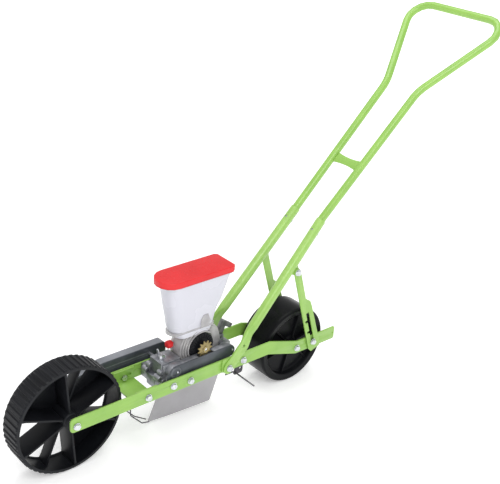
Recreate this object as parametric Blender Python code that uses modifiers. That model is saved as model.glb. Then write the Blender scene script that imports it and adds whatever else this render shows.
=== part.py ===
"""Push seeder: two wheels in line, a seed unit driven by the front wheel, and a raked loop handle.

Metres, +Z up. +X is the machine's left side and -Y is forward. Lengths along the machine are
counted from the front axle, and the empty "machine" moves that to the middle of the whole.
"""

from math import acos, atan2, cos, pi, radians, sin, tan

import bmesh
import bpy
from mathutils import Matrix, Vector

MM = 0.001
GAP = 0.3 * MM
RUNNING = 0.5 * MM

# Wheels and frame
FRONT_WHEEL_RADIUS = 130 * MM
FRONT_WHEEL_HALF = 29.5 * MM
FRONT_HUB_RADIUS = 20 * MM
RIM_WALL = 6 * MM
RIM_LIP = 3 * MM
SPOKE_WALL = 5 * MM
REAR_WHEEL_HALF = 43 * MM
REAR_AXLE_DROP = 27.5 * MM
BAR_HEIGHT = 35 * MM
BAR_WALL = 4 * MM
RAIL_HALF_GAP = 48.4 * MM
RAIL_OVER_AXLE = 3 * MM
RAIL_NOSE = 15 * MM
AXLE_RADIUS = 5 * MM
BUSH_WALL = 2.5 * MM
BOLT_RADIUS = 4 * MM
HEAD_RADIUS = 7 * MM
HEAD_HEIGHT = 5.3 * MM
NUT_HEIGHT = 5 * MM
WASHER_RADIUS = 8.5 * MM
WASHER_WALL = 1.6 * MM

# Places along the machine
WHEEL_TO_BRACKET = 25 * MM
BRACKET_LENGTH = 56 * MM
WHEEL_TO_BODY = 75 * MM
BODY_LENGTH = 87 * MM
BODY_TO_PIVOT = 206.5 * MM
PIVOT_TO_RAIL_BOLT = 46.5 * MM
PIVOT_TO_CRANK = 133 * MM
CRANK_RUN = 95 * MM
PIVOT_TO_REAR_AXLE = 227.2 * MM
REAR_AXLE_TO_PIN = 52 * MM
REAR_AXLE_TO_TAIL = 135 * MM

# Seed unit
BODY_SIDE_WALL = 6 * MM
BODY_BOTTOM = -18 * MM
BODY_TOP = 50 * MM
NOSE_START = 22 * MM
NOSE_LENGTH = 12 * MM
CROSS_SHAFT_BACK = 60 * MM
CROSS_SHAFT_UP = 29 * MM
IDLER_BACK = 219 * MM
IDLER_UP = 32 * MM
ROLLER_BACK = 149 * MM
ROLLER_UP = 59 * MM
ROLLER_RADIUS = 34 * MM
HOUSING_INNER = 57 * MM
HOUSING_WALL = 3 * MM
HOUSING_FAR = -20 * MM
DISC_RADIUS = 34 * MM
DISC_WALL = 7 * MM
SHAFT_RADIUS = 4 * MM
CASE_WALL = 3 * MM
CASE_WIDTH = 18 * MM
CASE_TO_RAIL = 4.4 * MM
COVER_WALL = 2.5 * MM
FAR_CASE_WIDTH = 21 * MM
SPROCKET_WALL = 3 * MM
CHAIN_WIDTH = 5 * MM
CHAIN_WALL = 3 * MM
SMALL_TEETH = 8
SMALL_TIP = 8.6 * MM
WHEEL_TEETH = 16
WHEEL_TIP = 20 * MM
ROLLER_TEETH = 11
ROLLER_TIP = 21 * MM
ROOT_SHARE = 0.72

# Hopper
HOPPER_WALL = 2 * MM
HOPPER_HEIGHT = 139 * MM
HOPPER_HALF = 35.5 * MM
HOPPER_LENGTH = 192 * MM
HOPPER_SEAT_HALF = 20 * MM
HOPPER_SEAT_LENGTH = 118 * MM
LID_HEIGHT = 15 * MM
LID_WALL = 2 * MM
LID_CLEARANCE = 0.6 * MM

# Opener and marker
TAB_WALL = 3 * MM
OPENER_WALL = 2 * MM
OPENER_LIFT = 15 * MM
WEDGE_LENGTH = 170 * MM
ROD_RADIUS = 3.5 * MM
SEED_TUBE_LENGTH = 24 * MM
SEED_TUBE_HALF = 8 * MM
WIRE_RADIUS = 1.5 * MM

# Handle
TUBE_RADIUS = 10 * MM
LEG_WALL = 2 * MM
SOCKET_DEPTH = 55 * MM
FOOT_HALF_WIDTH = 16 * MM
FOOT_WALL = 4.4 * MM
STRUT_WALL = 3 * MM
STRUT_SPACER = 1.9 * MM
STRUT_NECK = 20.4 * MM
STRUT_LENGTH = 262 * MM
SLOT_WIDTH = 10 * MM
NOTCH_STEP = 36 * MM
NOTCH_DEPTH = 7 * MM
BRACE_WALL = 3 * MM
LOOP_HALF = 161.6 * MM
CORNER_RADIUS = 47 * MM

# What follows from those sizes. Heights are counted from the floor.
DECK = FRONT_WHEEL_RADIUS
REAR_WHEEL_RADIUS = DECK - REAR_AXLE_DROP
RAIL_MIDDLE = DECK + RAIL_OVER_AXLE
RAIL_OUT = RAIL_HALF_GAP + BAR_WALL
REAR_IN = RAIL_OUT + GAP
REAR_OUT = REAR_IN + BAR_WALL
FOOT_MIDDLE = REAR_OUT + GAP + FOOT_WALL / 2
LEG_RADIUS = TUBE_RADIUS + LEG_WALL
STRUT_MIDDLE = REAR_OUT + STRUT_SPACER + STRUT_WALL / 2
BRACKET_Y = FRONT_WHEEL_RADIUS + WHEEL_TO_BRACKET
BODY_Y = FRONT_WHEEL_RADIUS + WHEEL_TO_BODY
PIVOT = Vector((BODY_Y + BODY_TO_PIVOT, DECK - 2 * MM))
RAIL_BOLT = PIVOT + Vector((PIVOT_TO_RAIL_BOLT, 4 * MM))
REAR_AXLE = Vector((PIVOT.x + PIVOT_TO_REAR_AXLE, REAR_WHEEL_RADIUS))
CROSS_SHAFT = Vector((BODY_Y + CROSS_SHAFT_BACK, DECK + CROSS_SHAFT_UP))
IDLER = Vector((BODY_Y + IDLER_BACK, DECK + IDLER_UP))
ROLLER = Vector((BODY_Y + ROLLER_BACK, DECK + ROLLER_UP))
CASE_OUT = RAIL_HALF_GAP - CASE_TO_RAIL
CASE_IN = CASE_OUT - CASE_WIDTH
CHAIN_X = (CASE_IN + CASE_WALL + CASE_OUT - COVER_WALL) / 2
DISC_OUT = CASE_IN - CASE_WALL
HOUSING_NEAR = DISC_OUT - DISC_WALL - 1 * MM
BODY_HALF = HOUSING_NEAR + 1 * MM + BODY_SIDE_WALL
HOUSING_OUTER = HOUSING_INNER + HOUSING_WALL
FAR_COVER = -(RAIL_OUT + GAP + WASHER_WALL + HEAD_HEIGHT + 1 * MM)
FAR_CASE = FAR_COVER - COVER_WALL - GAP
FAR_CHAIN_X = FAR_CASE - FAR_CASE_WIDTH / 2 + CASE_WALL / 2
HOPPER_SEAT = ROLLER.y + HOUSING_OUTER - 3.5 * MM
HOPPER_TOP = HOPPER_SEAT + HOPPER_HEIGHT
HOPPER_FRONT = ROLLER.x - 116 * MM
LOWER_RAKE = radians(47.4)
UPPER_RAKE = radians(44.3)

# Finishes: colour, roughness, metallic, alpha
GREEN = ((0.36, 0.62, 0.16), 0.32, 0.0, 1.0)
BLACK = ((0.022, 0.024, 0.028), 0.5, 0.0, 1.0)
ZINC = ((0.66, 0.67, 0.68), 0.28, 1.0, 1.0)
CASTING = ((0.3, 0.31, 0.33), 0.5, 0.8, 1.0)
SLATE = ((0.09, 0.1, 0.12), 0.45, 0.6, 1.0)
STAINLESS = ((0.52, 0.52, 0.54), 0.35, 1.0, 1.0)
BRASS = ((0.62, 0.45, 0.18), 0.35, 0.9, 1.0)
CLEAR = ((0.85, 0.86, 0.9), 0.25, 0.0, 0.45)
RED = ((0.72, 0.03, 0.035), 0.35, 0.0, 1.0)
WHITE = ((0.8, 0.8, 0.78), 0.5, 0.0, 1.0)
DARK_STEEL = ((0.05, 0.045, 0.055), 0.4, 0.7, 1.0)

SIDEWAYS = (pi / 2, 0, pi / 2)  # a drawing's X and Y become the machine's Y and Z
ALONG_X = (0, pi / 2, 0)  # a turned shape's Z becomes the machine's X


# ---------------------------------------------------------------- shapes


def arc_corner(before, here, after, radius, steps):
    """The corner at here as an arc of points that touches both sides."""
    back = (before - here).normalized()
    ahead = (after - here).normalized()
    half = back.angle(ahead) / 2
    middle = here + (back + ahead).normalized() * radius / sin(half)
    start = here + back * radius / tan(half) - middle
    end = here + ahead * radius / tan(half) - middle
    sweep = pi - 2 * half
    return [
        middle + (start * sin(sweep * (1 - k / steps)) + end * sin(sweep * k / steps)) / sin(sweep)
        for k in range(steps + 1)
    ]


def rounded(corners, steps=3):
    """A closed outline from corners (a, b, radius)."""
    places = [Vector(corner[:2]) for corner in corners]
    points = []
    for i, here in enumerate(places):
        radius = corners[i][2]
        if radius:
            points += arc_corner(places[i - 1], here, places[(i + 1) % len(places)], radius, steps)
        else:
            points.append(here)
    return points


def route(places, radii, steps=6):
    """An open path in space through places, with its inner corners rounded."""
    points = [places[0]]
    for i, radius in enumerate(radii, 1):
        points += arc_corner(places[i - 1], places[i], places[i + 1], radius, steps)
    return points + [places[-1]]


def mirrored(place, side):
    return Vector((side * place.x, place.y, place.z))


def circle(centre, radius, count=12):
    return [
        centre + radius * Vector((cos(2 * pi * k / count), sin(2 * pi * k / count)))
        for k in range(count)
    ]


def arc(centre, radius, start, end, steps):
    turns = [start + (end - start) * k / steps for k in range(steps + 1)]
    return [centre + radius * Vector((cos(turn), sin(turn))) for turn in turns]


def belt(first, first_radius, second, second_radius, steps=8):
    """The outline of a tight belt round two circles."""
    across = second - first
    lean = atan2(across.y, across.x)
    touch = acos((first_radius - second_radius) / across.length)
    front = arc(first, first_radius, lean + touch, lean + 2 * pi - touch, steps)
    return front + arc(second, second_radius, lean - touch, lean + touch, steps)


def toothed(centre, tip, teeth):
    """A sprocket's outline: pointed teeth with flat tops, round a root circle."""
    pitch = 2 * pi / teeth
    root = tip * ROOT_SHARE
    points = []
    for k in range(teeth):
        for share, radius in ((-0.34, root), (-0.09, tip), (0.09, tip), (0.34, root)):
            turn = (k + share) * pitch
            points.append(centre + radius * Vector((cos(turn), sin(turn))))
    return points


# ---------------------------------------------------------------- objects


def collection_named(name):
    collection = bpy.data.collections.new(name)
    bpy.context.scene.collection.children.link(collection)
    return collection


def clear_scene():
    for old in list(bpy.data.objects):
        bpy.data.objects.remove(old, do_unlink=True)


clear_scene()
PARTS = collection_named("push_seeder")
CUTTERS = collection_named("cutters")
CUTTERS.hide_render = True
MACHINE = bpy.data.objects.new("machine", None)
PARTS.objects.link(MACHINE)


def shown(piece, finish):
    """Puts a finished piece on the machine in its own material."""
    colour, roughness, metallic, alpha = finish
    material = bpy.data.materials.new(piece.name)
    material.use_nodes = True
    shader = material.node_tree.nodes["Principled BSDF"]
    shader.inputs["Base Color"].default_value = (*colour, 1)
    shader.inputs["Roughness"].default_value = roughness
    shader.inputs["Metallic"].default_value = metallic
    shader.inputs["Alpha"].default_value = alpha
    piece.data.materials.clear()
    piece.data.materials.append(material)
    piece.parent = MACHINE
    return piece


def object_from(name, mesh, finish, location=(0, 0, 0), rotation=(0, 0, 0)):
    piece = bpy.data.objects.new(name, mesh)
    piece.location = location
    piece.rotation_euler = rotation
    if finish is None:
        CUTTERS.objects.link(piece)
        piece.hide_render = True
        piece.display_type = "WIRE"
        piece.parent = MACHINE
        return piece
    PARTS.objects.link(piece)
    return shown(piece, finish)


def mesh_from(shape, name):
    bmesh.ops.recalc_face_normals(shape, faces=shape.faces)
    mesh = bpy.data.meshes.new(name)
    shape.to_mesh(mesh)
    shape.free()
    return mesh


def box(name, low, high, finish=None):
    shape = bmesh.new()
    bmesh.ops.create_cube(shape, size=1)
    low, high = Vector(low), Vector(high)
    bmesh.ops.scale(shape, vec=high - low, verts=shape.verts)
    bmesh.ops.translate(shape, vec=(low + high) / 2, verts=shape.verts)
    return object_from(name, mesh_from(shape, name), finish)


def rod(name, start, end, radius, finish=None, sides=16):
    """A plain cylinder from one point to another."""
    start, end = Vector(start), Vector(end)
    shape = bmesh.new()
    bmesh.ops.create_cone(
        shape, cap_ends=True, segments=sides, radius1=radius, radius2=radius, depth=(end - start).length
    )
    mesh = mesh_from(shape, name)
    turn = (end - start).to_track_quat("Z", "Y").to_euler()
    piece = object_from(name, mesh, finish, (start + end) / 2, turn)
    smooth(mesh)
    return piece


def smooth(mesh):
    mesh.shade_smooth()
    mesh.set_sharp_from_angle(angle=radians(35))


def curve_to_mesh(guide):
    """The mesh of a curve object, with its caps welded on. The curve object is removed."""
    graph = bpy.context.evaluated_depsgraph_get()
    mesh = bpy.data.meshes.new_from_object(guide.evaluated_get(graph))
    curve = guide.data
    bpy.data.objects.remove(guide)
    bpy.data.curves.remove(curve)
    shape = bmesh.new()
    shape.from_mesh(mesh)
    bpy.data.meshes.remove(mesh)
    bmesh.ops.remove_doubles(shape, verts=shape.verts, dist=0.001 * MM)
    bmesh.ops.dissolve_limit(
        shape, angle_limit=radians(0.5), verts=shape.verts, edges=shape.edges
    )
    return shape


def flat(name, outlines, wall, finish=None, location=(0, 0, 0), rotation=SIDEWAYS):
    """A plate drawn as outlines: the first is its edge, and the rest are its holes."""
    drawing = bpy.data.curves.new(name, "CURVE")
    drawing.dimensions = "2D"
    drawing.fill_mode = "BOTH"
    drawing.extrude = wall / 2
    for outline in outlines:
        spline = drawing.splines.new("POLY")
        spline.points.add(len(outline) - 1)
        spline.use_cyclic_u = True
        for point, place in zip(spline.points, outline):
            point.co = (place[0], place[1], 0, 1)
    guide = bpy.data.objects.new(name, drawing)
    PARTS.objects.link(guide)
    mesh = mesh_from(curve_to_mesh(guide), name)
    smooth(mesh)
    return object_from(name, mesh, finish, location, rotation)


def tube(name, points, radius, finish=None, resolution=4):
    """A round bar along a path in space."""
    path = bpy.data.curves.new(name, "CURVE")
    path.dimensions = "3D"
    path.bevel_depth = radius
    path.bevel_resolution = resolution
    path.use_fill_caps = True
    spline = path.splines.new("POLY")
    spline.points.add(len(points) - 1)
    for point, place in zip(spline.points, points):
        point.co = (*place, 1)
    guide = bpy.data.objects.new(name, path)
    PARTS.objects.link(guide)
    mesh = mesh_from(curve_to_mesh(guide), name)
    smooth(mesh)
    return object_from(name, mesh, finish)


def turned(name, profile, finish=None, location=(0, 0, 0), rotation=ALONG_X, steps=16):
    """A turned shape. The profile's points (radius, height) run from its top down its outer side."""
    mesh = bpy.data.meshes.new(name)
    ring = profile[0][0] > 0
    edges = [(i, i + 1) for i in range(len(profile) - 1)]
    if ring:
        edges.append((len(profile) - 1, 0))
    mesh.from_pydata([(radius, 0, height) for radius, height in profile], edges, [])
    piece = object_from(name, mesh, finish, location, rotation)
    screw = piece.modifiers.new("Turn", "SCREW")
    screw.axis = "Z"
    screw.steps = steps
    screw.render_steps = steps
    screw.use_merge_vertices = True
    screw.merge_threshold = 0.01 * MM
    screw.use_smooth_shade = True
    return piece


def frozen(piece):
    """The piece with its modifiers applied, as a plain mesh."""
    graph = bpy.context.evaluated_depsgraph_get()
    mesh = bpy.data.meshes.new_from_object(piece.evaluated_get(graph))
    piece.modifiers.clear()
    piece.data = mesh
    smooth(mesh)
    return piece


def boolean(piece, tool, operation):
    modifier = piece.modifiers.new(tool.name, "BOOLEAN")
    modifier.operation = operation
    modifier.object = tool
    return piece


def cut(piece, *tools):
    for tool in tools:
        boolean(piece, tool, "DIFFERENCE")
    return piece


def joined(piece, *tools):
    for tool in tools:
        boolean(piece, tool, "UNION")
    return piece


def bore(name, place, radius, low, high, sides=16):
    """A cutter along X at place (y, z), from x = low to x = high."""
    return rod(name, (low, *place), (high, *place), radius, sides=sides)


def bolt(name, side, place, outer, inner, nut=True, radius=BOLT_RADIUS):
    """A bolt with its washer, across X through a stack from outer down to inner. Side is 1 or -1."""
    grip = outer - inner + 2 * GAP
    top = WASHER_WALL + HEAD_HEIGHT
    profile = [
        (0, top),
        (HEAD_RADIUS * 0.85, top),
        (HEAD_RADIUS, top - 1 * MM),
        (HEAD_RADIUS, WASHER_WALL),
        (WASHER_RADIUS, WASHER_WALL),
        (WASHER_RADIUS, 0),
        (radius, 0),
        (radius, -grip),
    ]
    if nut:
        profile += [(HEAD_RADIUS, -grip), (HEAD_RADIUS, -grip - NUT_HEIGHT)]
        profile.append((0, -grip - NUT_HEIGHT))
    else:
        profile.append((0, -grip))
    turn = (0, side * pi / 2, 0)
    return turned(name, profile, ZINC, (side * (outer + GAP), *place), turn, steps=10)


# ---------------------------------------------------------------- frame


def bolt_hole(place, radius=BOLT_RADIUS):
    return circle(place, radius + GAP, 10)


BRACKET_BOLT = Vector((BRACKET_Y + 29 * MM, DECK))
BODY_BOLTS = (
    Vector((BODY_Y + 48 * MM, DECK + 4 * MM)),
    Vector((BODY_Y + 97 * MM, DECK)),
)
STRUT_PIN = REAR_AXLE + Vector((REAR_AXLE_TO_PIN, 4 * MM))


def front_rail(name, side):
    low = RAIL_MIDDLE - BAR_HEIGHT / 2
    high = RAIL_MIDDLE + BAR_HEIGHT / 2
    tail = RAIL_BOLT.x + 14 * MM
    edge = rounded(
        [(-RAIL_NOSE, low, 9 * MM), (tail, low, 4 * MM), (tail, high, 4 * MM), (-RAIL_NOSE, high, 9 * MM)]
    )
    axle_hole = circle(Vector((0, DECK)), AXLE_RADIUS + RUNNING, 12)
    holes = [bolt_hole(place) for place in (BRACKET_BOLT, *BODY_BOLTS, PIVOT, RAIL_BOLT)]
    middle = (RAIL_HALF_GAP + RAIL_OUT) / 2
    flat(name, [edge, axle_hole, *holes], BAR_WALL, GREEN, (side * middle, 0, 0))


def rear_rail(name, side):
    top = RAIL_MIDDLE + BAR_HEIGHT / 2 + 2 * MM
    low_top = REAR_AXLE.y + 19 * MM
    nose = PIVOT.x - 18 * MM
    crank = PIVOT.x + PIVOT_TO_CRANK
    step = crank + CRANK_RUN
    tail = REAR_AXLE.x + REAR_AXLE_TO_TAIL
    upper = [(nose, top), (crank, top), (step, low_top), (tail, low_top)]
    lower = [(a - 3 * MM if 0 < i < 3 else a, b - BAR_HEIGHT) for i, (a, b) in enumerate(upper)]
    lower[0] = (nose, lower[0][1])
    radii = (4, 12, 12, 4)
    edge = rounded(
        [(a, b, r * MM) for (a, b), r in zip(upper, radii)]
        + [(a, b, r * MM) for (a, b), r in zip(reversed(lower), radii)]
    )
    tail_hole = circle(Vector((tail - 6 * MM, low_top - BAR_HEIGHT / 2)), 2.6 * MM, 8)
    axle_hole = circle(REAR_AXLE, AXLE_RADIUS + GAP, 12)
    holes = [bolt_hole(place) for place in (PIVOT, RAIL_BOLT, STRUT_PIN)]
    middle = (REAR_IN + REAR_OUT) / 2
    flat(name, [edge, axle_hole, tail_hole, *holes], BAR_WALL, GREEN, (side * middle, 0, 0))


def cross_bracket():
    """A U of plate that ties the two front rails together behind the front wheel."""
    half = RAIL_HALF_GAP - GAP
    low = RAIL_MIDDLE - BAR_HEIGHT / 2
    high = RAIL_MIDDLE + BAR_HEIGHT / 2 - 1 * MM
    inner = half - BAR_WALL
    section = [
        (-half, high),
        (-half, low),
        (half, low),
        (half, high),
        (inner, high),
        (inner, low + BAR_WALL),
        (-inner, low + BAR_WALL),
        (-inner, high),
    ]
    place = (0, BRACKET_Y + BRACKET_LENGTH / 2, 0)
    bracket = flat("cross_bracket", [section], BRACKET_LENGTH, GREEN, place, (pi / 2, 0, 0))
    slot = belt(
        BRACKET_BOLT - Vector((6 * MM, 1.5 * MM)),
        BOLT_RADIUS + GAP,
        BRACKET_BOLT + Vector((14 * MM, 3.5 * MM)),
        BOLT_RADIUS + GAP - 0.01 * MM,
        6,
    )
    cut(bracket, flat("bracket_slot", [slot], 3 * half))


def frame():
    for side, name in ((1, "left"), (-1, "right")):
        front_rail(f"{name}_front_rail", side)
        rear_rail(f"{name}_rear_rail", side)
        bolt(f"{name}_bracket_bolt", side, BRACKET_BOLT, RAIL_OUT, RAIL_HALF_GAP - GAP - BAR_WALL)
        tab = GAP + TAB_WALL if side > 0 else 0
        bolt(f"{name}_rail_bolt", side, RAIL_BOLT, REAR_OUT, RAIL_HALF_GAP - tab)
        for place, where in zip(BODY_BOLTS, ("front", "rear")):
            bolt(f"{name}_{where}_body_bolt", side, place, RAIL_OUT, RAIL_HALF_GAP - 2 * MM, nut=False)
    cross_bracket()


# ---------------------------------------------------------------- wheels


def front_wheel():
    """A moulded drum: rim, hub, eight paddle spokes over its depth, and four closed sectors."""
    outer = FRONT_WHEEL_RADIUS
    inner = outer - RIM_WALL
    half = FRONT_WHEEL_HALF
    centre = (0, 0, DECK)
    rim = [
        (outer - 3 * MM, half),
        (outer, half - 3 * MM),
        (outer, -half + 3 * MM),
        (outer - 3 * MM, -half),
        (inner - RIM_LIP, -half),
        (inner - RIM_LIP, -half + 3 * MM),
        (inner, -half + 6 * MM),
        (inner, half - 6 * MM),
        (inner - RIM_LIP, half - 3 * MM),
        (inner - RIM_LIP, half),
    ]
    wheel = frozen(turned("front_wheel", rim, BLACK, centre, ALONG_X, 56))
    hub = frozen(turned("wheel_hub", [(FRONT_HUB_RADIUS, half + 2 * MM), (FRONT_HUB_RADIUS, -half - 2 * MM),
                                      (AXLE_RADIUS + GAP, -half - 2 * MM), (AXLE_RADIUS + GAP, half + 2 * MM)],
                        None, centre, ALONG_X, 20))
    tools = [hub]
    reach = inner + RIM_WALL / 2
    for turn in (24, 95, 159, 204, 275, 339):
        tools.append(spoke(f"spoke_{turn}", turn, reach, -half + 1 * MM, half - 1 * MM))
    for turn in (68, 248):
        tools.append(spoke(f"spoke_{turn}", turn, reach, -half + 1 * MM, 2 * MM))
    for start, end in ((24, 46), (95, 159), (204, 226), (275, 339)):
        sector = arc(Vector((0, 0)), reach, radians(start), radians(end), 8)
        sector += arc(Vector((0, 0)), FRONT_HUB_RADIUS - 3 * MM, radians(end), radians(start), 4)
        wall = flat(f"sector_{start}", [sector], 4 * MM, None, (-half + 5 * MM, 0, DECK))
        tools.append(wall)
    joined(wheel, *tools)


def spoke(name, turn, reach, low, high):
    """A flat paddle from the hub to the rim, at a turn in degrees from the rear."""
    start = FRONT_HUB_RADIUS - 4 * MM
    piece = box(name, (low, start, -SPOKE_WALL / 2), (high, reach, SPOKE_WALL / 2))
    piece.location = (0, 0, DECK)
    piece.rotation_euler = (radians(turn), 0, 0)
    return piece


def front_axle():
    """Turns with the wheel, and carries the drive sprocket outside the right rail."""
    head = RAIL_OUT + RUNNING
    tail = FAR_CHAIN_X - SPROCKET_WALL / 2 - 4 * MM
    profile = [
        (0, head + WASHER_WALL + HEAD_HEIGHT),
        (HEAD_RADIUS, head + WASHER_WALL + HEAD_HEIGHT),
        (HEAD_RADIUS, head + WASHER_WALL),
        (WASHER_RADIUS, head + WASHER_WALL),
        (WASHER_RADIUS, head),
        (AXLE_RADIUS, head),
        (AXLE_RADIUS, tail),
        (0, tail),
    ]
    turned("front_axle", profile, ZINC, (0, 0, DECK), ALONG_X, 14)


def rear_wheel():
    """A wide press wheel with dished faces."""
    hub = AXLE_RADIUS + BUSH_WALL + 2 * GAP
    half = REAR_WHEEL_HALF
    radius = REAR_WHEEL_RADIUS
    side = [
        (hub, half + 7 * MM),
        (hub + 7 * MM, half + 7 * MM),
        (hub + 9 * MM, half - 12 * MM),
        (radius - 24 * MM, half - 15 * MM),
        (radius - 20 * MM, half - 2.5 * MM),
        (radius - 4 * MM, half),
        (radius, half - 5 * MM),
    ]
    profile = side + [(r, -x) for r, x in reversed(side)]
    turned("rear_wheel", profile, BLACK, (0, *REAR_AXLE), ALONG_X, 40)
    bush_half = half + 7.5 * MM
    outer = AXLE_RADIUS + BUSH_WALL + GAP
    inner = AXLE_RADIUS + GAP
    sleeve = [(inner, bush_half), (outer, bush_half), (outer, -bush_half), (inner, -bush_half)]
    turned("rear_wheel_bush", sleeve, BRASS, (0, *REAR_AXLE), ALONG_X, 14)
    bolt("rear_axle", 1, REAR_AXLE, REAR_OUT, -REAR_OUT, radius=AXLE_RADIUS)


# ---------------------------------------------------------------- drive


def sprocket(name, place, x, tip, teeth, finish, shaft=SHAFT_RADIUS):
    outline = toothed(Vector((0, 0)), tip, teeth)
    hole = circle(Vector((0, 0)), shaft + GAP, 12)
    return flat(name, [outline, hole], SPROCKET_WALL, finish, (x, *place))


def chain(name, x, first, first_tip, second, second_tip, dip=None):
    """A closed chain as one band that clears the teeth. A dip is the lowest place of its upper run."""
    loops = []
    for wall in (CHAIN_WALL, 0):
        reach = RUNNING + wall
        loop = belt(first, first_tip + reach, second, second_tip + reach - 0.001 * MM, 10)
        if dip:
            low = dip.y - CHAIN_WALL + wall
            loop += [Vector((dip.x + 8 * MM, low)), Vector((dip.x - 8 * MM, low))]
        loops.append(loop)
    flat(name, loops, CHAIN_WIDTH, DARK_STEEL, (x, 0, 0))


def inset(corners, wall):
    """The corners of an outline moved in by a wall, for an outline that runs anticlockwise."""
    moved = []
    for i, (a, b, radius) in enumerate(corners):
        here = Vector((a, b))
        arrive = (here - Vector(corners[i - 1][:2])).normalized()
        leave = (Vector(corners[(i + 1) % len(corners)][:2]) - here).normalized()
        inward = Vector((-arrive.y, arrive.x)) + Vector((-leave.y, leave.x))
        here = here + inward * wall / (1 + arrive.dot(leave))
        moved.append((here.x, here.y, max(radius - wall, 0)))
    return moved


def right_case():
    """The long case beside the front wheel: a tray with a flat cover on its rail side."""
    nose = WHEEL_TIP + RUNNING + CHAIN_WALL + CASE_WALL + 5 * MM
    tail = CROSS_SHAFT.x + 47 * MM
    top = CROSS_SHAFT.y + SMALL_TIP + 8.5 * MM
    corners = [
        (-nose, DECK - nose, nose - 1 * MM),
        (nose, DECK - nose, 30 * MM),
        (tail, CROSS_SHAFT.y - 25 * MM, 12 * MM),
        (tail, top, 10 * MM),
        (nose + 105 * MM, top, 20 * MM),
        (nose + 35 * MM, DECK + nose, 20 * MM),
        (-nose, DECK + nose, nose - 1 * MM),
    ]
    outer = rounded(corners, 5)
    inner = rounded(inset(corners, CASE_WALL), 5)
    middle = FAR_CASE - FAR_CASE_WIDTH / 2
    tray = flat("right_chain_case", [outer], FAR_CASE_WIDTH, CASTING, (middle, 0, 0))
    cut(tray, flat("right_case_hollow", [inner], FAR_CASE_WIDTH, None, (middle + CASE_WALL, 0, 0)))
    axle_hole = circle(Vector((0, DECK)), AXLE_RADIUS + RUNNING, 12)
    holes = [axle_hole, circle(CROSS_SHAFT, SHAFT_RADIUS + RUNNING, 12)]
    flat("right_case_cover", [outer, *holes], COVER_WALL, SLATE, (FAR_COVER - COVER_WALL / 2, 0, 0))


LEFT_CASE_FRONT = (CROSS_SHAFT + Vector((0, 1 * MM)), SMALL_TIP + RUNNING + CHAIN_WALL + 4.9 * MM)
LEFT_CASE_REAR = (IDLER, SMALL_TIP + RUNNING + CHAIN_WALL + 3.5 * MM)


def left_case():
    """The case inside the left rail. Its top is open where the roller sprocket dips onto the chain."""
    (front, front_radius), (rear, rear_radius) = LEFT_CASE_FRONT, LEFT_CASE_REAR
    outer = belt(front, front_radius, rear, rear_radius, 9)
    inner = belt(front, front_radius - CASE_WALL, rear, rear_radius - CASE_WALL, 9)
    tray_out = CASE_OUT - COVER_WALL - GAP
    width = tray_out - CASE_IN
    middle = (CASE_IN + tray_out) / 2
    tray = flat("left_chain_case", [outer], width, CASTING, (middle, 0, 0))
    hollow = flat("left_case_hollow", [inner], width, None, (middle + CASE_WALL, 0, 0))
    top = max(front.y + front_radius, rear.y + rear_radius)
    slot_half = ROLLER_TIP + 1 * MM
    slot = box(
        "sprocket_slot",
        (CASE_IN + CASE_WALL, ROLLER.x - slot_half, rear.y + 4 * MM),
        (tray_out + 1 * MM, ROLLER.x + slot_half, top + 5 * MM),
    )
    through = (CASE_IN - 1 * MM, CASE_IN + 5 * MM)
    shaft_hole = bore("cross_shaft_hole", CROSS_SHAFT, SHAFT_RADIUS + RUNNING, *through)
    idler_hole = bore("idler_hole", IDLER, SHAFT_RADIUS + RUNNING, *through)
    cut(tray, hollow, slot, shaft_hole, idler_hole)
    cover = flat("left_case_cover", [outer], COVER_WALL, SLATE, (CASE_OUT - COVER_WALL / 2, 0, 0))
    ear_in = CASE_OUT - COVER_WALL
    foot_low = (ear_in + GAP, BODY_BOLTS[0].x - 11 * MM, BODY_BOLTS[1].y - 8 * MM)
    foot_high = (CASE_OUT - GAP, BODY_BOLTS[1].x + 11 * MM, front.y)
    joined(cover, box("case_foot", foot_low, foot_high))
    for i, place in enumerate(BODY_BOLTS):
        ear = rod(f"case_ear_{i}", (ear_in, *place), (RAIL_HALF_GAP - GAP, *place), 9 * MM, sides=18)
        joined(cover, ear)
    for i, place in enumerate(BODY_BOLTS):
        thread = bore(f"case_thread_{i}", place, BOLT_RADIUS + GAP, CASE_OUT + 1 * MM, RAIL_OUT, 10)
        cut(cover, thread)


def drive():
    """Front wheel to cross shaft on the right, and cross shaft to the roller sprocket on the left."""
    far = CHAIN_X - FAR_CHAIN_X
    sprocket("front_sprocket", (0, DECK), FAR_CHAIN_X, WHEEL_TIP, WHEEL_TEETH, DARK_STEEL, AXLE_RADIUS)
    sprocket("cross_input_sprocket", CROSS_SHAFT, FAR_CHAIN_X, SMALL_TIP, SMALL_TEETH, DARK_STEEL)
    sprocket("cross_output_sprocket", CROSS_SHAFT, CHAIN_X, SMALL_TIP, SMALL_TEETH, DARK_STEEL)
    middle = (CHAIN_X + FAR_CHAIN_X) / 2
    reach = far / 2 + SPROCKET_WALL / 2 + 2 * MM
    shaft = [(0, reach), (SHAFT_RADIUS, reach), (SHAFT_RADIUS, -reach), (0, -reach)]
    turned("cross_shaft", shaft, ZINC, (middle, *CROSS_SHAFT), ALONG_X, 14)
    chain("drive_chain", FAR_CHAIN_X, Vector((0, DECK)), WHEEL_TIP, CROSS_SHAFT, SMALL_TIP)
    dip = ROLLER - Vector((0, ROLLER_TIP + RUNNING))
    chain("metering_chain", CHAIN_X, CROSS_SHAFT, SMALL_TIP, IDLER, SMALL_TIP, dip)
    idler = flat(
        "idler_sprocket",
        [toothed(Vector((0, 0)), SMALL_TIP, SMALL_TEETH)],
        SPROCKET_WALL,
        DARK_STEEL,
        (CHAIN_X, *IDLER),
    )
    joined(idler, rod("idler_journal", (CASE_IN - 1 * MM, *IDLER), (CHAIN_X + 3 * MM, *IDLER), SHAFT_RADIUS))
    right_case()
    left_case()


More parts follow.
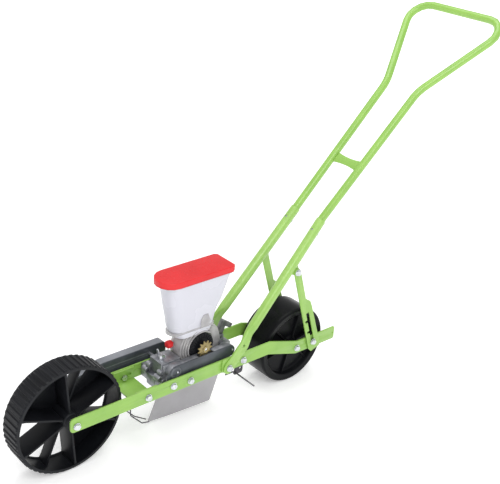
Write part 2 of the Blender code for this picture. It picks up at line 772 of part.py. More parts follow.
# ---------------------------------------------------------------- seed unit

LATCH = Vector((BODY_Y + 217 * MM, DECK + 55 * MM))
WING = Vector((BODY_Y + 49 * MM, DECK + BODY_TOP))



def seed_body():
    """The casting between the rails: front block, low side walls, rear block and right ears."""
    low = DECK + BODY_BOTTOM
    well_front = ROLLER.x - HOUSING_OUTER - 2 * MM
    well_rear = ROLLER.x + HOUSING_OUTER + 3 * MM
    half = BODY_HALF
    wall_top = ROLLER.y - DISC_RADIUS - 3 * MM
    near_in = HOUSING_NEAR + 1 * MM
    far_in = HOUSING_FAR - 0.6 * MM
    shoulder = BODY_Y + NOSE_START + NOSE_LENGTH
    body = box("seed_body", (-half, shoulder, low), (half, well_front, DECK + BODY_TOP), CASTING)
    tail = well_rear + 26 * MM
    pad_rear = well_front - 1 * MM
    latch_low = (LATCH.x - 6.5 * MM, DECK + 40 * MM)
    latch_high = (LATCH.x + 8 * MM, LATCH.y + 6 * MM)
    ears_front = BODY_BOLTS[0].x - 20 * MM
    ears_rear = BODY_BOLTS[1].x + 13 * MM
    ears_top = CROSS_SHAFT.y - SHAFT_RADIUS - 5 * MM
    joined(
        body,
        box("body_nose", (-half + 6 * MM, shoulder - NOSE_LENGTH, low + 4 * MM),
            (half - 6 * MM, shoulder + 2 * MM, DECK + 14 * MM)),
        box("body_pad", (half - 1 * MM, BODY_Y + 38 * MM, DECK - 12 * MM),
            (CASE_IN - GAP, pad_rear, DECK + 45 * MM)),
        box("body_rear", (-half, well_rear, low), (half, tail, DECK + 42 * MM)),
        box("body_near_wall", (near_in, well_front - 3 * MM, low), (half, well_rear + 3 * MM, wall_top)),
        box("body_far_wall", (far_in - 4.4 * MM, well_front - 3 * MM, low),
            (far_in, well_rear + 3 * MM, wall_top)),
        box("body_ears", (-RAIL_HALF_GAP + GAP, ears_front, low + 6 * MM),
            (-half + 1 * MM, ears_rear, ears_top)),
        box("latch_ear_near", (6.5 * MM, *latch_low), (11 * MM, *latch_high)),
        box("latch_ear_far", (-11 * MM, *latch_low), (-6.5 * MM, *latch_high)),
    )
    wide = 2 * RAIL_HALF_GAP
    cut(
        body,
        bore("body_shaft_bore", CROSS_SHAFT, SHAFT_RADIUS + RUNNING, -wide, wide),
        rod("opener_rod_bore", (0, WING.x, low - 1 * MM), (0, WING.x, WING.y + 1 * MM), ROD_RADIUS + RUNNING),
        bore("latch_bore", LATCH, 3 * MM + RUNNING, -14 * MM, 14 * MM, 12),
        *(
            bore(f"body_thread_{i}", place, BOLT_RADIUS + GAP, -RAIL_OUT, -RAIL_HALF_GAP + 6 * MM, 10)
            for i, place in enumerate(BODY_BOLTS)
        ),
    )


def hopper_ring(level, front, rear, half, nose, corner):
    """One level of the hopper: round at the front, with cut corners at the rear."""
    outline = arc(Vector((0, front + nose)), 1, pi, 2 * pi, 8)
    points = [
        Vector((half * cos(pi + pi * k / 8), front + nose + nose * sin(pi + pi * k / 8), level))
        for k in range(len(outline))
    ]
    points += [
        Vector((half, rear - corner, level)),
        Vector((half - corner * 0.8, rear, level)),
        Vector((-half + corner * 0.8, rear, level)),
        Vector((-half, rear - corner, level)),
    ]
    return points


def hopper_levels():
    """(height share, front, rear, half width, nose, corner) down the hopper, as seen from its seat."""
    front = HOPPER_FRONT
    rear = HOPPER_FRONT + HOPPER_LENGTH
    seat_front = ROLLER.x - 83 * MM
    seat_rear = seat_front + HOPPER_SEAT_LENGTH
    slim = HOPPER_SEAT_HALF
    wide = HOPPER_HALF
    return (
        (1.0, front, rear, wide, wide, 7 * MM),
        (0.91, front, rear, wide, wide, 7 * MM),
        (0.87, front + 12 * MM, rear - 9 * MM, wide - 3 * MM, wide - 4 * MM, 7 * MM),
        (0.43, front + 23 * MM, rear - 27 * MM, wide - 7 * MM, wide - 9 * MM, 6 * MM),
        (0.31, front + 27 * MM, rear - 40 * MM, wide - 9 * MM, wide - 11 * MM, 6 * MM),
        (0.04, seat_front, seat_rear, slim, slim, 5 * MM),
        (0.0, seat_front, seat_rear, slim, slim, 5 * MM),
    )


def roller_housing():
    """The clear housing round the seed roller. Its left side is open, and the hopper stands on it."""
    length = HOUSING_NEAR - HOUSING_FAR
    middle = (HOUSING_NEAR + HOUSING_FAR) / 2
    drum = circle(ROLLER, HOUSING_OUTER, 40)
    housing = flat("roller_housing", [drum], length, CLEAR, (middle, 0, 0))
    share, front, rear, half, nose, corner = hopper_levels()[-1]
    grow = 2 * MM
    rim = hopper_ring(0, front - grow, rear + grow, half + grow, nose + grow, corner)
    outline = [(point.x, point.y) for point in rim]
    seat = flat("hopper_seat", [outline], 7 * MM, None, (0, 0, HOPPER_SEAT - GAP - 3.5 * MM), (0, 0, 0))
    joined(housing, seat)
    chamber = flat(
        "roller_chamber",
        [circle(ROLLER, HOUSING_INNER, 40)],
        length - 2 * HOUSING_WALL,
        None,
        (middle, 0, 0),
    )
    neck = box(
        "seed_neck",
        (HOUSING_FAR + 5 * MM, ROLLER.x - 40 * MM, ROLLER.y + 25 * MM),
        (HOUSING_NEAR - 4 * MM, ROLLER.x + 30 * MM, HOPPER_SEAT + 1 * MM),
    )
    outlet = box(
        "seed_outlet",
        (-9 * MM, ROLLER.x - 10 * MM, ROLLER.y - HOUSING_OUTER - 1 * MM),
        (9 * MM, ROLLER.x + 10 * MM, ROLLER.y - HOUSING_INNER + 5 * MM),
    )
    window_in = HOUSING_NEAR - HOUSING_WALL - 1 * MM
    window = bore("roller_window", ROLLER, ROLLER_RADIUS + 4 * MM, window_in, HOUSING_NEAR + 1 * MM, 32)
    shaft_hole = bore("roller_shaft_hole", ROLLER, SHAFT_RADIUS + RUNNING, HOUSING_FAR - 1 * MM, 0)
    knob_hole = rod("knob_hole", KNOB, KNOB + Vector((0, 20 * MM, 0)), 2.5 * MM + RUNNING, sides=10)
    trim = box(
        "seat_trim",
        (HOUSING_FAR - 5 * MM, ROLLER.x - 60 * MM, HOPPER_SEAT - GAP),
        (HOUSING_NEAR + 5 * MM, ROLLER.x + 60 * MM, HOPPER_SEAT + 20 * MM),
    )
    cut(housing, chamber, neck, outlet, window, shaft_hole, knob_hole, trim)


KNOB = Vector((HOUSING_FAR + 8 * MM, ROLLER.x - HOUSING_OUTER - 3 * MM, ROLLER.y + 12 * MM))


def seed_roller():
    """The roller with its cells, on the shaft that also carries the disc and the sprocket."""
    near = HOUSING_NEAR - HOUSING_WALL - 1 * MM
    far = HOUSING_FAR + HOUSING_WALL + 1 * MM
    middle = (near + far) / 2
    outline = [circle(Vector((0, 0)), ROLLER_RADIUS, 36), circle(Vector((0, 0)), SHAFT_RADIUS + GAP, 12)]
    roller = flat("seed_roller", outline, near - far, WHITE, (middle, *ROLLER))
    cells = 12
    for k in range(cells):
        turn = 2 * pi * (k + 0.5) / cells
        spoke_out = Vector((0, cos(turn), sin(turn)))
        centre = Vector((middle, *ROLLER))
        cell = rod(
            f"cell_{k}",
            centre + spoke_out * (ROLLER_RADIUS - 4 * MM),
            centre + spoke_out * (ROLLER_RADIUS + 2 * MM),
            4 * MM,
            sides=8,
        )
        cut(roller, cell)
    tail = HOUSING_FAR - 3 * MM
    head = CHAIN_X + SPROCKET_WALL / 2 + 3 * MM
    shaft = [(0, head), (SHAFT_RADIUS, head), (SHAFT_RADIUS, tail), (0, tail)]
    turned("roller_shaft", shaft, ZINC, (0, *ROLLER), ALONG_X, 14)
    disc_outline = [circle(Vector((0, 0)), DISC_RADIUS, 36), circle(Vector((0, 0)), SHAFT_RADIUS + GAP, 12)]
    flat("roller_disc", disc_outline, DISC_WALL, BLACK, (DISC_OUT - DISC_WALL / 2, *ROLLER))
    sprocket("roller_sprocket", ROLLER, CHAIN_X, ROLLER_TIP, ROLLER_TEETH, BRASS)


def seed_brush():
    """The brush that wipes the roller, and the red knob on its stem."""
    turn = radians(151)
    inner = ROLLER_RADIUS + 0.8 * MM
    outer = HOUSING_INNER - 0.8 * MM
    away = Vector((cos(turn), sin(turn)))
    along = Vector((-away.y, away.x))
    middle = ROLLER + away * (inner + outer) / 2
    near = HOUSING_NEAR - HOUSING_WALL - 2 * MM
    far = HOUSING_FAR + HOUSING_WALL + 2 * MM
    half_wall = (outer - inner) / 2 - 0.8 * MM
    corners = [
        middle + away * half_wall * a + along * 7 * MM * b for a, b in ((1, 0.8), (-1, 1), (-1, -1), (1, -0.8))
    ]
    flat("seed_brush", [corners], near - far, WHITE, ((near + far) / 2, 0, 0))
    stem_end = KNOB + Vector((0, HOUSING_WALL + 4 * MM, 0))
    profile = [
        (0, 13 * MM),
        (8 * MM, 13 * MM),
        (9.5 * MM, 11 * MM),
        (9.5 * MM, 1 * MM),
        (2.5 * MM, 0),
        (2.5 * MM, KNOB.y - stem_end.y),
        (0, KNOB.y - stem_end.y),
    ]
    turned("brush_knob", profile, RED, KNOB, (pi / 2, 0, 0), 16)


def hopper():
    shape = bmesh.new()
    rings = []
    for share, front, rear, half, nose, corner in hopper_levels():
        level = HOPPER_SEAT + share * HOPPER_HEIGHT
        ring = [shape.verts.new(point) for point in hopper_ring(level, front, rear, half, nose, corner)]
        rings.append(ring)
    for upper, lower in zip(rings, rings[1:]):
        for k in range(len(upper)):
            after = (k + 1) % len(upper)
            shape.faces.new((upper[k], lower[k], lower[after], upper[after]))
    mesh = mesh_from(shape, "hopper")
    piece = object_from("hopper", mesh, CLEAR)
    shell = piece.modifiers.new("Wall", "SOLIDIFY")
    shell.thickness = HOPPER_WALL
    shell.offset = -1
    shell.use_even_offset = True
    smooth(mesh)


def hopper_lid():
    """The red cap that lifts off the hopper."""
    grow = LID_WALL + LID_CLEARANCE
    share, front, rear, half, nose, corner = hopper_levels()[0]
    top = HOPPER_TOP + LID_WALL + LID_CLEARANCE

    def outline(extra):
        ring = hopper_ring(0, front - extra, rear + extra, half + extra, nose + extra, corner)
        return [(point.x, point.y) for point in ring]

    lid = flat("hopper_lid", [outline(grow)], LID_HEIGHT, RED, (0, 0, top - LID_HEIGHT / 2), (0, 0, 0))
    under = flat(
        "lid_hollow",
        [outline(LID_CLEARANCE)],
        LID_HEIGHT,
        None,
        (0, 0, top - LID_HEIGHT / 2 - LID_WALL),
        (0, 0, 0),
    )
    cut(lid, under)


def latch_lever():
    """The catch behind the hopper, on its own journals in the body's two ears."""
    corners = (
        (-6, -5), (5, -5), (9, 5), (16, 23), (32, 13), (39, 22), (13, 40), (9, 39), (2, 24), (-7, 5)
    )
    outline = [LATCH + Vector(place) * MM for place in corners]
    lever = flat("latch_lever", [outline], 12 * MM, DARK_STEEL, (0, 0, 0))
    joined(lever, bore("latch_journal", LATCH, 3 * MM, -12 * MM, 12 * MM, 12))


def wing_nut():
    base = Vector((0, WING.x, WING.y + GAP))
    profile = [
        (ROD_RADIUS + RUNNING, 9 * MM),
        (6 * MM, 9 * MM),
        (8 * MM, 0),
        (ROD_RADIUS + RUNNING, 0),
    ]
    nut = frozen(turned("wing_nut", profile, ZINC, base, (0, 0, 0), 14))
    for side, name in ((1, "left"), (-1, "right")):
        wing = rounded(
            [
                (side * 6 * MM, 2 * MM, 0),
                (side * 12 * MM, 3 * MM, 0),
                (side * 19 * MM, 16 * MM, 3 * MM),
                (side * 12 * MM, 17 * MM, 3 * MM),
                (side * 5.6 * MM, 8 * MM, 0),
            ]
        )
        wing_plate = flat(f"{name}_wing", [wing], 3 * MM, None, base, (pi / 2, 0, 0))
        joined(nut, wing_plate)


# ---------------------------------------------------------------- opener

OPENER_TOP = DECK + BODY_BOTTOM - RUNNING
OPENER_TOE = BODY_Y + 15 * MM
OPENER_LEAN = 39.0 * MM  # how far the nose leans back from its toe to its top
OPENER_SLOPE = OPENER_LEAN / (OPENER_TOP - OPENER_LIFT)


def opener_wedge(name, wall, back):
    """A leaning wedge with its nose forward, moved in by a wall, as tall as the opener."""
    low = OPENER_LIFT - 10 * MM
    high = OPENER_TOP + 10 * MM
    shape = bmesh.new()
    half = BODY_HALF - wall
    nose = OPENER_TOE + wall * 3
    rings = []
    for level in (low, high):
        lean = OPENER_SLOPE * (level - OPENER_LIFT)
        wide = nose + WEDGE_LENGTH
        plan = ((0, nose), (half, wide), (half, back), (-half, back), (-half, wide))
        rings.append([shape.verts.new((x, y + (lean if y < back else 0), level)) for x, y in plan])
    shape.faces.new(rings[0])
    shape.faces.new(rings[1])
    for k in range(5):
        after = (k + 1) % 5
        shape.faces.new((rings[0][k], rings[0][after], rings[1][after], rings[1][k]))
    return object_from(name, mesh_from(shape, name), None)


def opener():
    """Two side plates that meet in a leaning nose, bridged on top where the lifting rod is welded."""
    toe = OPENER_TOE
    front = toe + OPENER_SLOPE * (OPENER_TOP - OPENER_LIFT)
    side = [
        (toe - 12 * MM, OPENER_TOP, 0),
        (toe - 12 * MM, OPENER_LIFT, 0),
        (toe + 60 * MM, OPENER_LIFT + 1 * MM, 60 * MM),
        (toe + 169 * MM, OPENER_LIFT + 7.5 * MM, 4 * MM),
        (toe + 200 * MM, OPENER_TOP, 0),
    ]
    piece = flat("opener", [rounded(side, 3)], 2 * BODY_HALF + 2 * MM, STAINLESS, (0, 0, 0))
    outside = opener_wedge("opener_outside", 0, toe + 260 * MM)
    boolean(piece, outside, "INTERSECT")
    cut(piece, opener_wedge("opener_hollow", OPENER_WALL, toe + 300 * MM))
    bridge = box(
        "opener_bridge",
        (-6 * MM, WING.x - 6 * MM, OPENER_TOP - 3 * MM),
        (6 * MM, front + 55 * MM, OPENER_TOP),
    )
    lifter = rod("opener_lifter", (0, WING.x, OPENER_TOP - 2 * MM), (0, WING.x, WING.y + 15 * MM), ROD_RADIUS)
    joined(piece, bridge, lifter)


def seed_tube():
    """The square tube between the opener's plates that drops the seed in the furrow."""
    top = ROLLER.y - HOUSING_OUTER - GAP
    half = SEED_TUBE_HALF
    low = (-half, ROLLER.x - SEED_TUBE_LENGTH / 2, OPENER_LIFT + 13 * MM)
    high = (half, ROLLER.x + SEED_TUBE_LENGTH / 2, top)
    wall = Vector((1.5 * MM, 1.5 * MM, -5 * MM))
    piece = box("seed_tube", low, high, WHITE)
    cut(piece, box("seed_tube_bore", Vector(low) + wall, Vector(high) - wall))


def wire_guard():
    """The bent wire round the opener's toe, up to the cross bracket."""
    under = RAIL_MIDDLE - BAR_HEIGHT / 2 - GAP - WIRE_RADIUS
    up = BODY_Y - 46.5 * MM
    side = [
        Vector((6 * MM, OPENER_TOE + 1 * MM, OPENER_LIFT + 5 * MM)),
        Vector((16 * MM, OPENER_TOE - 26 * MM, OPENER_LIFT + 19 * MM)),
        Vector((20 * MM, up, OPENER_LIFT + 57 * MM)),
        Vector((20 * MM, up, under)),
    ]
    places = side + [mirrored(place, -1) for place in reversed(side)]
    radii = (8 * MM, 12 * MM, 5 * MM, 5 * MM, 12 * MM, 8 * MM)
    tube("wire_guard", route(places, radii, 3), WIRE_RADIUS, DARK_STEEL, 2)


# ---------------------------------------------------------------- marker

MARKER_EYE = RAIL_BOLT + Vector((-13 * MM, -37 * MM))


def marker():
    """The row marker: a bent rod through a small tab that hangs from the left rail bolt."""
    outline = rounded(
        [
            (RAIL_BOLT.x - 9 * MM, RAIL_BOLT.y + 9 * MM, 8 * MM),
            (MARKER_EYE.x - 7 * MM, MARKER_EYE.y - 6 * MM, 5 * MM),
            (RAIL_BOLT.x + 8 * MM, MARKER_EYE.y - 4 * MM, 6 * MM),
            (RAIL_BOLT.x + 9 * MM, RAIL_BOLT.y + 9 * MM, 8 * MM),
        ]
    )
    holes = [
        bolt_hole(RAIL_BOLT),
        circle(MARKER_EYE, 2 * MM + RUNNING, 10),
        circle(RAIL_BOLT - Vector((-1 * MM, 28 * MM)), 3.5 * MM, 10),
    ]
    middle = RAIL_HALF_GAP - GAP - TAB_WALL / 2
    flat("marker_clamp", [outline, *holes], TAB_WALL, DARK_STEEL, (middle, 0, 0))
    places = [
        Vector((RAIL_HALF_GAP + 68 * MM, *MARKER_EYE)),
        Vector((RAIL_HALF_GAP - 8 * MM, *MARKER_EYE)),
        Vector((RAIL_HALF_GAP - 8 * MM, MARKER_EYE.x - 26 * MM, MARKER_EYE.y)),
    ]
    tube("marker_rod", route(places, (6 * MM,), 4), 2 * MM, DARK_STEEL, 2)


# ---------------------------------------------------------------- handle


def rake(turn):
    return Vector((0, cos(turn), sin(turn)))


LEG_START = Vector((FOOT_MIDDLE, PIVOT.x - 3.5 * MM, PIVOT.y + 8 * MM))
JOINT = LEG_START + Vector((-13.8 * MM, 0, 0)) + 405.4 * MM * rake(LOWER_RAKE)
LEG_LINE = (JOINT - LEG_START).normalized()
KNEE = JOINT + Vector((6.1 * MM, 0, 0)) + 415.9 * MM * rake(UPPER_RAKE)
CORNER = Vector((LOOP_HALF, KNEE.y + 196 * MM, KNEE.z + 169.9 * MM))
LEG_ACROSS = Vector((sin(LOWER_RAKE), -cos(LOWER_RAKE)))
LEG_UP = Vector((cos(LOWER_RAKE), sin(LOWER_RAKE)))
STRUT_TOP = PIVOT + 281.9 * MM * LEG_UP + (LEG_RADIUS - 0.9 * MM) * LEG_ACROSS


def leg_sections():
    """(place, half width, half thickness, squareness) from the foot's tip up to the socket's end."""
    foot = Vector((FOOT_MIDDLE, *PIVOT))
    along = Vector((0, cos(LOWER_RAKE), sin(LOWER_RAKE)))
    wide = FOOT_HALF_WIDTH
    thin = FOOT_WALL / 2
    tip = [(-wide, 0.3), (-wide * 0.87, 0.56), (-wide * 0.5, 0.88), (0, 1)]
    sections = [(foot + along * off, wide * share, thin, 0.35) for off, share in tip]
    sections.append((foot + along * 66 * MM, wide, thin, 0.35))
    sections.append((LEG_START + LEG_LINE * 92 * MM, wide * 0.85, thin * 2.6, 0.7))
    sections.append((LEG_START + LEG_LINE * 112 * MM, LEG_RADIUS, LEG_RADIUS, 1))
    sections.append((JOINT + LEG_LINE * 10 * MM, LEG_RADIUS, LEG_RADIUS, 1))
    return sections


def power(value, squareness):
    return (1 if value >= 0 else -1) * abs(value) ** squareness


def handle_leg(name, side):
    """A tube whose lower end is pressed flat, with a lug for the strut on its rear side."""
    count = 16
    shape = bmesh.new()
    across = Vector((0, sin(LOWER_RAKE), -cos(LOWER_RAKE)))
    rings = []
    for place, wide, thin, squareness in leg_sections():
        ring = []
        for k in range(count):
            turn = 2 * pi * k / count
            off = across * wide * power(cos(turn), squareness)
            off = off + Vector((thin * power(sin(turn), squareness), 0, 0))
            ring.append(shape.verts.new(mirrored(place + off, side)))
        rings.append(ring)
    for lower, upper in zip(rings, rings[1:]):
        for k in range(count):
            after = (k + 1) % count
            shape.faces.new((lower[k], lower[after], upper[after], upper[k]))
    shape.faces.new(rings[0])
    shape.faces.new(rings[-1])
    mesh = mesh_from(shape, name)
    leg = object_from(name, mesh, GREEN)
    smooth(mesh)
    socket_end = JOINT + LEG_LINE * 12 * MM
    socket = rod(
        f"{name}_socket",
        mirrored(socket_end - LEG_LINE * SOCKET_DEPTH, side),
        mirrored(socket_end, side),
        TUBE_RADIUS + GAP,
        sides=20,
    )
    lug_inner = STRUT_MIDDLE - STRUT_WALL / 2 - GAP
    joined(leg, lug(f"{name}_lug", side, lug_inner))
    cut(
        leg,
        socket,
        bore(
            f"{name}_pivot_hole",
            PIVOT,
            BOLT_RADIUS + RUNNING,
            side * REAR_OUT,
            side * (REAR_OUT + 12 * MM),
            12,
        ),
        bore(
            f"{name}_spare_hole",
            PIVOT + Vector((42 * MM, 46.5 * MM)),
            4 * MM,
            side * REAR_OUT,
            side * (REAR_OUT + 12 * MM),
            10,
        ),
        rod(f"{name}_joint_hole", *joint_bolt_ends(side, 20 * MM), BOLT_RADIUS * 0.75 + GAP, sides=10),
        bore(
            f"{name}_lug_hole",
            STRUT_TOP,
            BOLT_RADIUS + GAP,
            side * 40 * MM,
            side * (lug_inner + 1 * MM),
            10,
        ),
    )


def lug(name, side, outer):
    """The tab behind the leg that the strut hangs on."""
    wall = 4 * MM
    root = STRUT_TOP - LEG_ACROSS * 17.7 * MM
    outline = [root - LEG_UP * 16 * MM, root + LEG_UP * 16 * MM]
    outline += arc(STRUT_TOP, 9 * MM, LOWER_RAKE, LOWER_RAKE - pi, 6)
    return flat(name, [outline], wall, None, (side * (outer - wall / 2), 0, 0))


def joint_bolt_ends(side, reach):
    """The two ends of the line that the joint bolt lies on, across the leg and toward the rear."""
    middle = JOINT - LEG_LINE * 22 * MM
    away = Vector((0, sin(LOWER_RAKE), -cos(LOWER_RAKE)))
    return mirrored(middle + away * reach, side), mirrored(middle - away * reach, side)


def joint_bolt(name, side):
    outer = LEG_RADIUS + RUNNING
    radius = BOLT_RADIUS * 0.75
    head, tail = joint_bolt_ends(side, outer)
    profile = [
        (0, 4.5 * MM),
        (5 * MM, 4.5 * MM),
        (5.5 * MM, 0),
        (radius, 0),
        (radius, -2 * outer + 2 * MM),
        (0, -2 * outer + 2 * MM),
    ]
    turn = (head - tail).to_track_quat("Z", "Y").to_euler()
    turned(name, profile, ZINC, head, turn, 10)


def handle_loop():
    """One bent tube: both sides, the flare and the top bar."""
    inside = JOINT - LEG_LINE * (SOCKET_DEPTH - 14 * MM)
    above = JOINT + LEG_LINE * 16 * MM
    left = [inside, above, KNEE, CORNER]
    places = left + [mirrored(place, -1) for place in reversed(left)]
    radii = (150 * MM, 110 * MM, CORNER_RADIUS, CORNER_RADIUS, 110 * MM, 150 * MM)
    loop = tube("handle_loop", route(places, radii, 5), TUBE_RADIUS, GREEN)
    for side, name in ((1, "left"), (-1, "right")):
        ends = joint_bolt_ends(side, 20 * MM)
        cut(loop, rod(f"{name}_loop_hole", *ends, BOLT_RADIUS * 0.75 + GAP, sides=10))


def handle_brace():
    """The waisted strap between the two sides."""
    share = 0.42
    centre = JOINT.lerp(KNEE, share)
    half = centre.x - TUBE_RADIUS - GAP - 0.5 * MM
    ends, waist = 14 * MM, 10.5 * MM
    top = [(half * (1 - k / 4), waist + (ends - waist) * abs(1 - k / 4) ** 2) for k in range(9)]
    outline = [(a, b) for a, b in top] + [(-a, -b) for a, b in top]
    place = (0, centre.y, centre.z)
    flat("handle_brace", [outline], BRACE_WALL, GREEN, place, (UPPER_RAKE, 0, 0))


STRUT_LEAN = radians(-71.9)


def strut(name, side):
    """The slotted strut. Its three notches hold the handle at three heights."""
    down = Vector((cos(STRUT_LEAN), sin(STRUT_LEAN)))
    back = Vector((-down.y, down.x))
    slot_off = SLOT_MIDDLE

    def spot(along, off):
        return down * along + back * off

    neck = STRUT_NECK / 2
    wide = 29 * MM
    start = 108 * MM
    outline = arc(Vector((0, 0)), neck, STRUT_LEAN + 1.5 * pi, STRUT_LEAN + pi / 2, 6)
    right = [
        spot(start - 16 * MM, neck),
        spot(start, wide - 6 * MM),
        spot(start + 18 * MM, wide - 4 * MM),
        spot(STRUT_LENGTH - 5 * MM, wide),
        spot(STRUT_LENGTH, wide - 5 * MM),
        spot(STRUT_LENGTH, -4 * MM),
        spot(STRUT_LENGTH - 12 * MM, -neck),
    ]
    edge = outline + right
    pin = (STRUT_PIN - STRUT_TOP) @ down
    half = SLOT_WIDTH / 2
    top = pin - 2 * NOTCH_STEP - 26 * MM
    slot = [spot(top, slot_off + half), spot(pin + half, slot_off + half), spot(pin + half, slot_off - half)]
    for k in range(2):
        seat = pin - (k + 1) * NOTCH_STEP
        slot += [
            spot(seat + 4.5 * MM, slot_off - half),
            spot(seat + 4.5 * MM, slot_off - half - NOTCH_DEPTH),
            spot(seat - 4.5 * MM, slot_off - half - NOTCH_DEPTH),
            spot(seat - 4.5 * MM, slot_off - half),
        ]
    slot.append(spot(top, slot_off - half))
    hole = bolt_hole(Vector((0, 0)))
    flat(name, [edge, hole, slot], STRUT_WALL, GREEN, (side * STRUT_MIDDLE, *STRUT_TOP))


SLOT_MIDDLE = (STRUT_PIN - STRUT_TOP) @ Vector((-sin(STRUT_LEAN), cos(STRUT_LEAN)))


def handle():
    handle_loop()
    handle_brace()
    lug_wall = 4 * MM
    strut_out = STRUT_MIDDLE + STRUT_WALL / 2
    for side, name in ((1, "left"), (-1, "right")):
        handle_leg(f"{name}_handle_leg", side)
        joint_bolt(f"{name}_joint_bolt", side)
        bolt(f"{name}_pivot_bolt", side, PIVOT, FOOT_MIDDLE + FOOT_WALL / 2, RAIL_HALF_GAP)
        strut(f"{name}_strut", side)
        lug_in = STRUT_MIDDLE - STRUT_WALL / 2 - GAP - lug_wall
        bolt(f"{name}_strut_bolt", side, STRUT_TOP, strut_out, lug_in, nut=False)
        bolt(f"{name}_strut_pin", side, STRUT_PIN, strut_out, REAR_IN)


frame()
front_wheel()
front_axle()
rear_wheel()
drive()
seed_body()
roller_housing()
seed_roller()
seed_brush()
hopper()
hopper_lid()
latch_lever()
wing_nut()
opener()
seed_tube()
wire_guard()
marker()
handle()

FRONT_END = -FRONT_WHEEL_RADIUS
REAR_END = CORNER.y + TUBE_RADIUS
MACHINE.location.y = -(FRONT_END + REAR_END) / 2
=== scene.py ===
from math import cos, pi, radians, sin

import bmesh
import bpy
from mathutils import Matrix, Vector


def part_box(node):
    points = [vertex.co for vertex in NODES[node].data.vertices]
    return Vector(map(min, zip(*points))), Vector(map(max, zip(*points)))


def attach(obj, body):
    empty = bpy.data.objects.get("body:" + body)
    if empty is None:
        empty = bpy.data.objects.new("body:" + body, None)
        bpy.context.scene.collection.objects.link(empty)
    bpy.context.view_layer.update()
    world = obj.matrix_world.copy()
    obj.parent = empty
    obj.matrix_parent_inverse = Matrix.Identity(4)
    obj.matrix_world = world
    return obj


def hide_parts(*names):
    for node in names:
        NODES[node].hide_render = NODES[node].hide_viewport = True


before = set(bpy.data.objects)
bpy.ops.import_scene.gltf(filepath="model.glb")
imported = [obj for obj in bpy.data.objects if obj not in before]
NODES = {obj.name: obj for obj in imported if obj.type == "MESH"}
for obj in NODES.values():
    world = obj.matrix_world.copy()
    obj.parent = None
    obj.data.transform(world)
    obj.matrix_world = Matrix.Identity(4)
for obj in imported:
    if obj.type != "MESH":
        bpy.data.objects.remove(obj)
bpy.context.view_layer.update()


# ---------------------------------------------------------------- green bars and tubes
# The flat bars, struts, bracket and handle are mild steel in thick green powder coat. The coat is
# glossy with a slight orange peel, and rubbed thin along the edges.

MM = 0.001


def group_with(name, inputs, outputs):
    """A shader node group with its sockets, and its input and output nodes."""
    tree = bpy.data.node_groups.new(name, "ShaderNodeTree")
    for label, kind, value in inputs:
        socket = tree.interface.new_socket(label, in_out="INPUT", socket_type=kind)
        socket.default_value = value
    for label, kind in outputs:
        tree.interface.new_socket(label, in_out="OUTPUT", socket_type=kind)
    return tree, tree.nodes.new("NodeGroupInput"), tree.nodes.new("NodeGroupOutput")


def mottle_group():
    """Soft patches from 0 to 1, and a fine grain from 0 to 1, both over the object's own space."""
    tree, into, out = group_with(
        "mottle",
        [("Patch scale", "NodeSocketFloat", 20.0), ("Grain scale", "NodeSocketFloat", 400.0)],
        [("Patches", "NodeSocketFloat"), ("Grain", "NodeSocketFloat")],
    )
    place = tree.nodes.new("ShaderNodeTexCoord")
    for label, result, detail in (("Patch scale", "Patches", 3.0), ("Grain scale", "Grain", 2.0)):
        noise = tree.nodes.new("ShaderNodeTexNoise")
        noise.inputs["Detail"].default_value = detail
        tree.links.new(place.outputs["Object"], noise.inputs["Vector"])
        tree.links.new(into.outputs[label], noise.inputs["Scale"])
        tree.links.new(noise.outputs["Fac"], out.inputs[result])
    return tree


def wear_and_glint_group():
    """A mask that is 1 on outside edges, broken up by noise: rubbed wear on most finishes, and a painted
    highlight on the brass.
    """
    tree, into, out = group_with(
        "edge_wear", [("Amount", "NodeSocketFloat", 0.5)], [("Mask", "NodeSocketFloat")]
    )
    edge = tree.nodes.new("ShaderNodeNewGeometry")
    sharp = tree.nodes.new("ShaderNodeMapRange")
    sharp.inputs["From Min"].default_value = 0.53
    sharp.inputs["From Max"].default_value = 0.62
    noise = tree.nodes.new("ShaderNodeTexNoise")
    noise.inputs["Scale"].default_value = 90.0
    place = tree.nodes.new("ShaderNodeTexCoord")
    broken = tree.nodes.new("ShaderNodeMath")
    broken.operation = "MULTIPLY"
    amount = tree.nodes.new("ShaderNodeMath")
    amount.operation = "MULTIPLY"
    tree.links.new(place.outputs["Object"], noise.inputs["Vector"])
    tree.links.new(edge.outputs["Pointiness"], sharp.inputs["Value"])
    tree.links.new(sharp.outputs["Result"], broken.inputs[0])
    tree.links.new(noise.outputs["Fac"], broken.inputs[1])
    tree.links.new(broken.outputs[0], amount.inputs[0])
    tree.links.new(into.outputs["Amount"], amount.inputs[1])
    tree.links.new(amount.outputs[0], out.inputs["Mask"])
    return tree


MOTTLE = mottle_group()
WEAR_AND_GLINT = wear_and_glint_group()


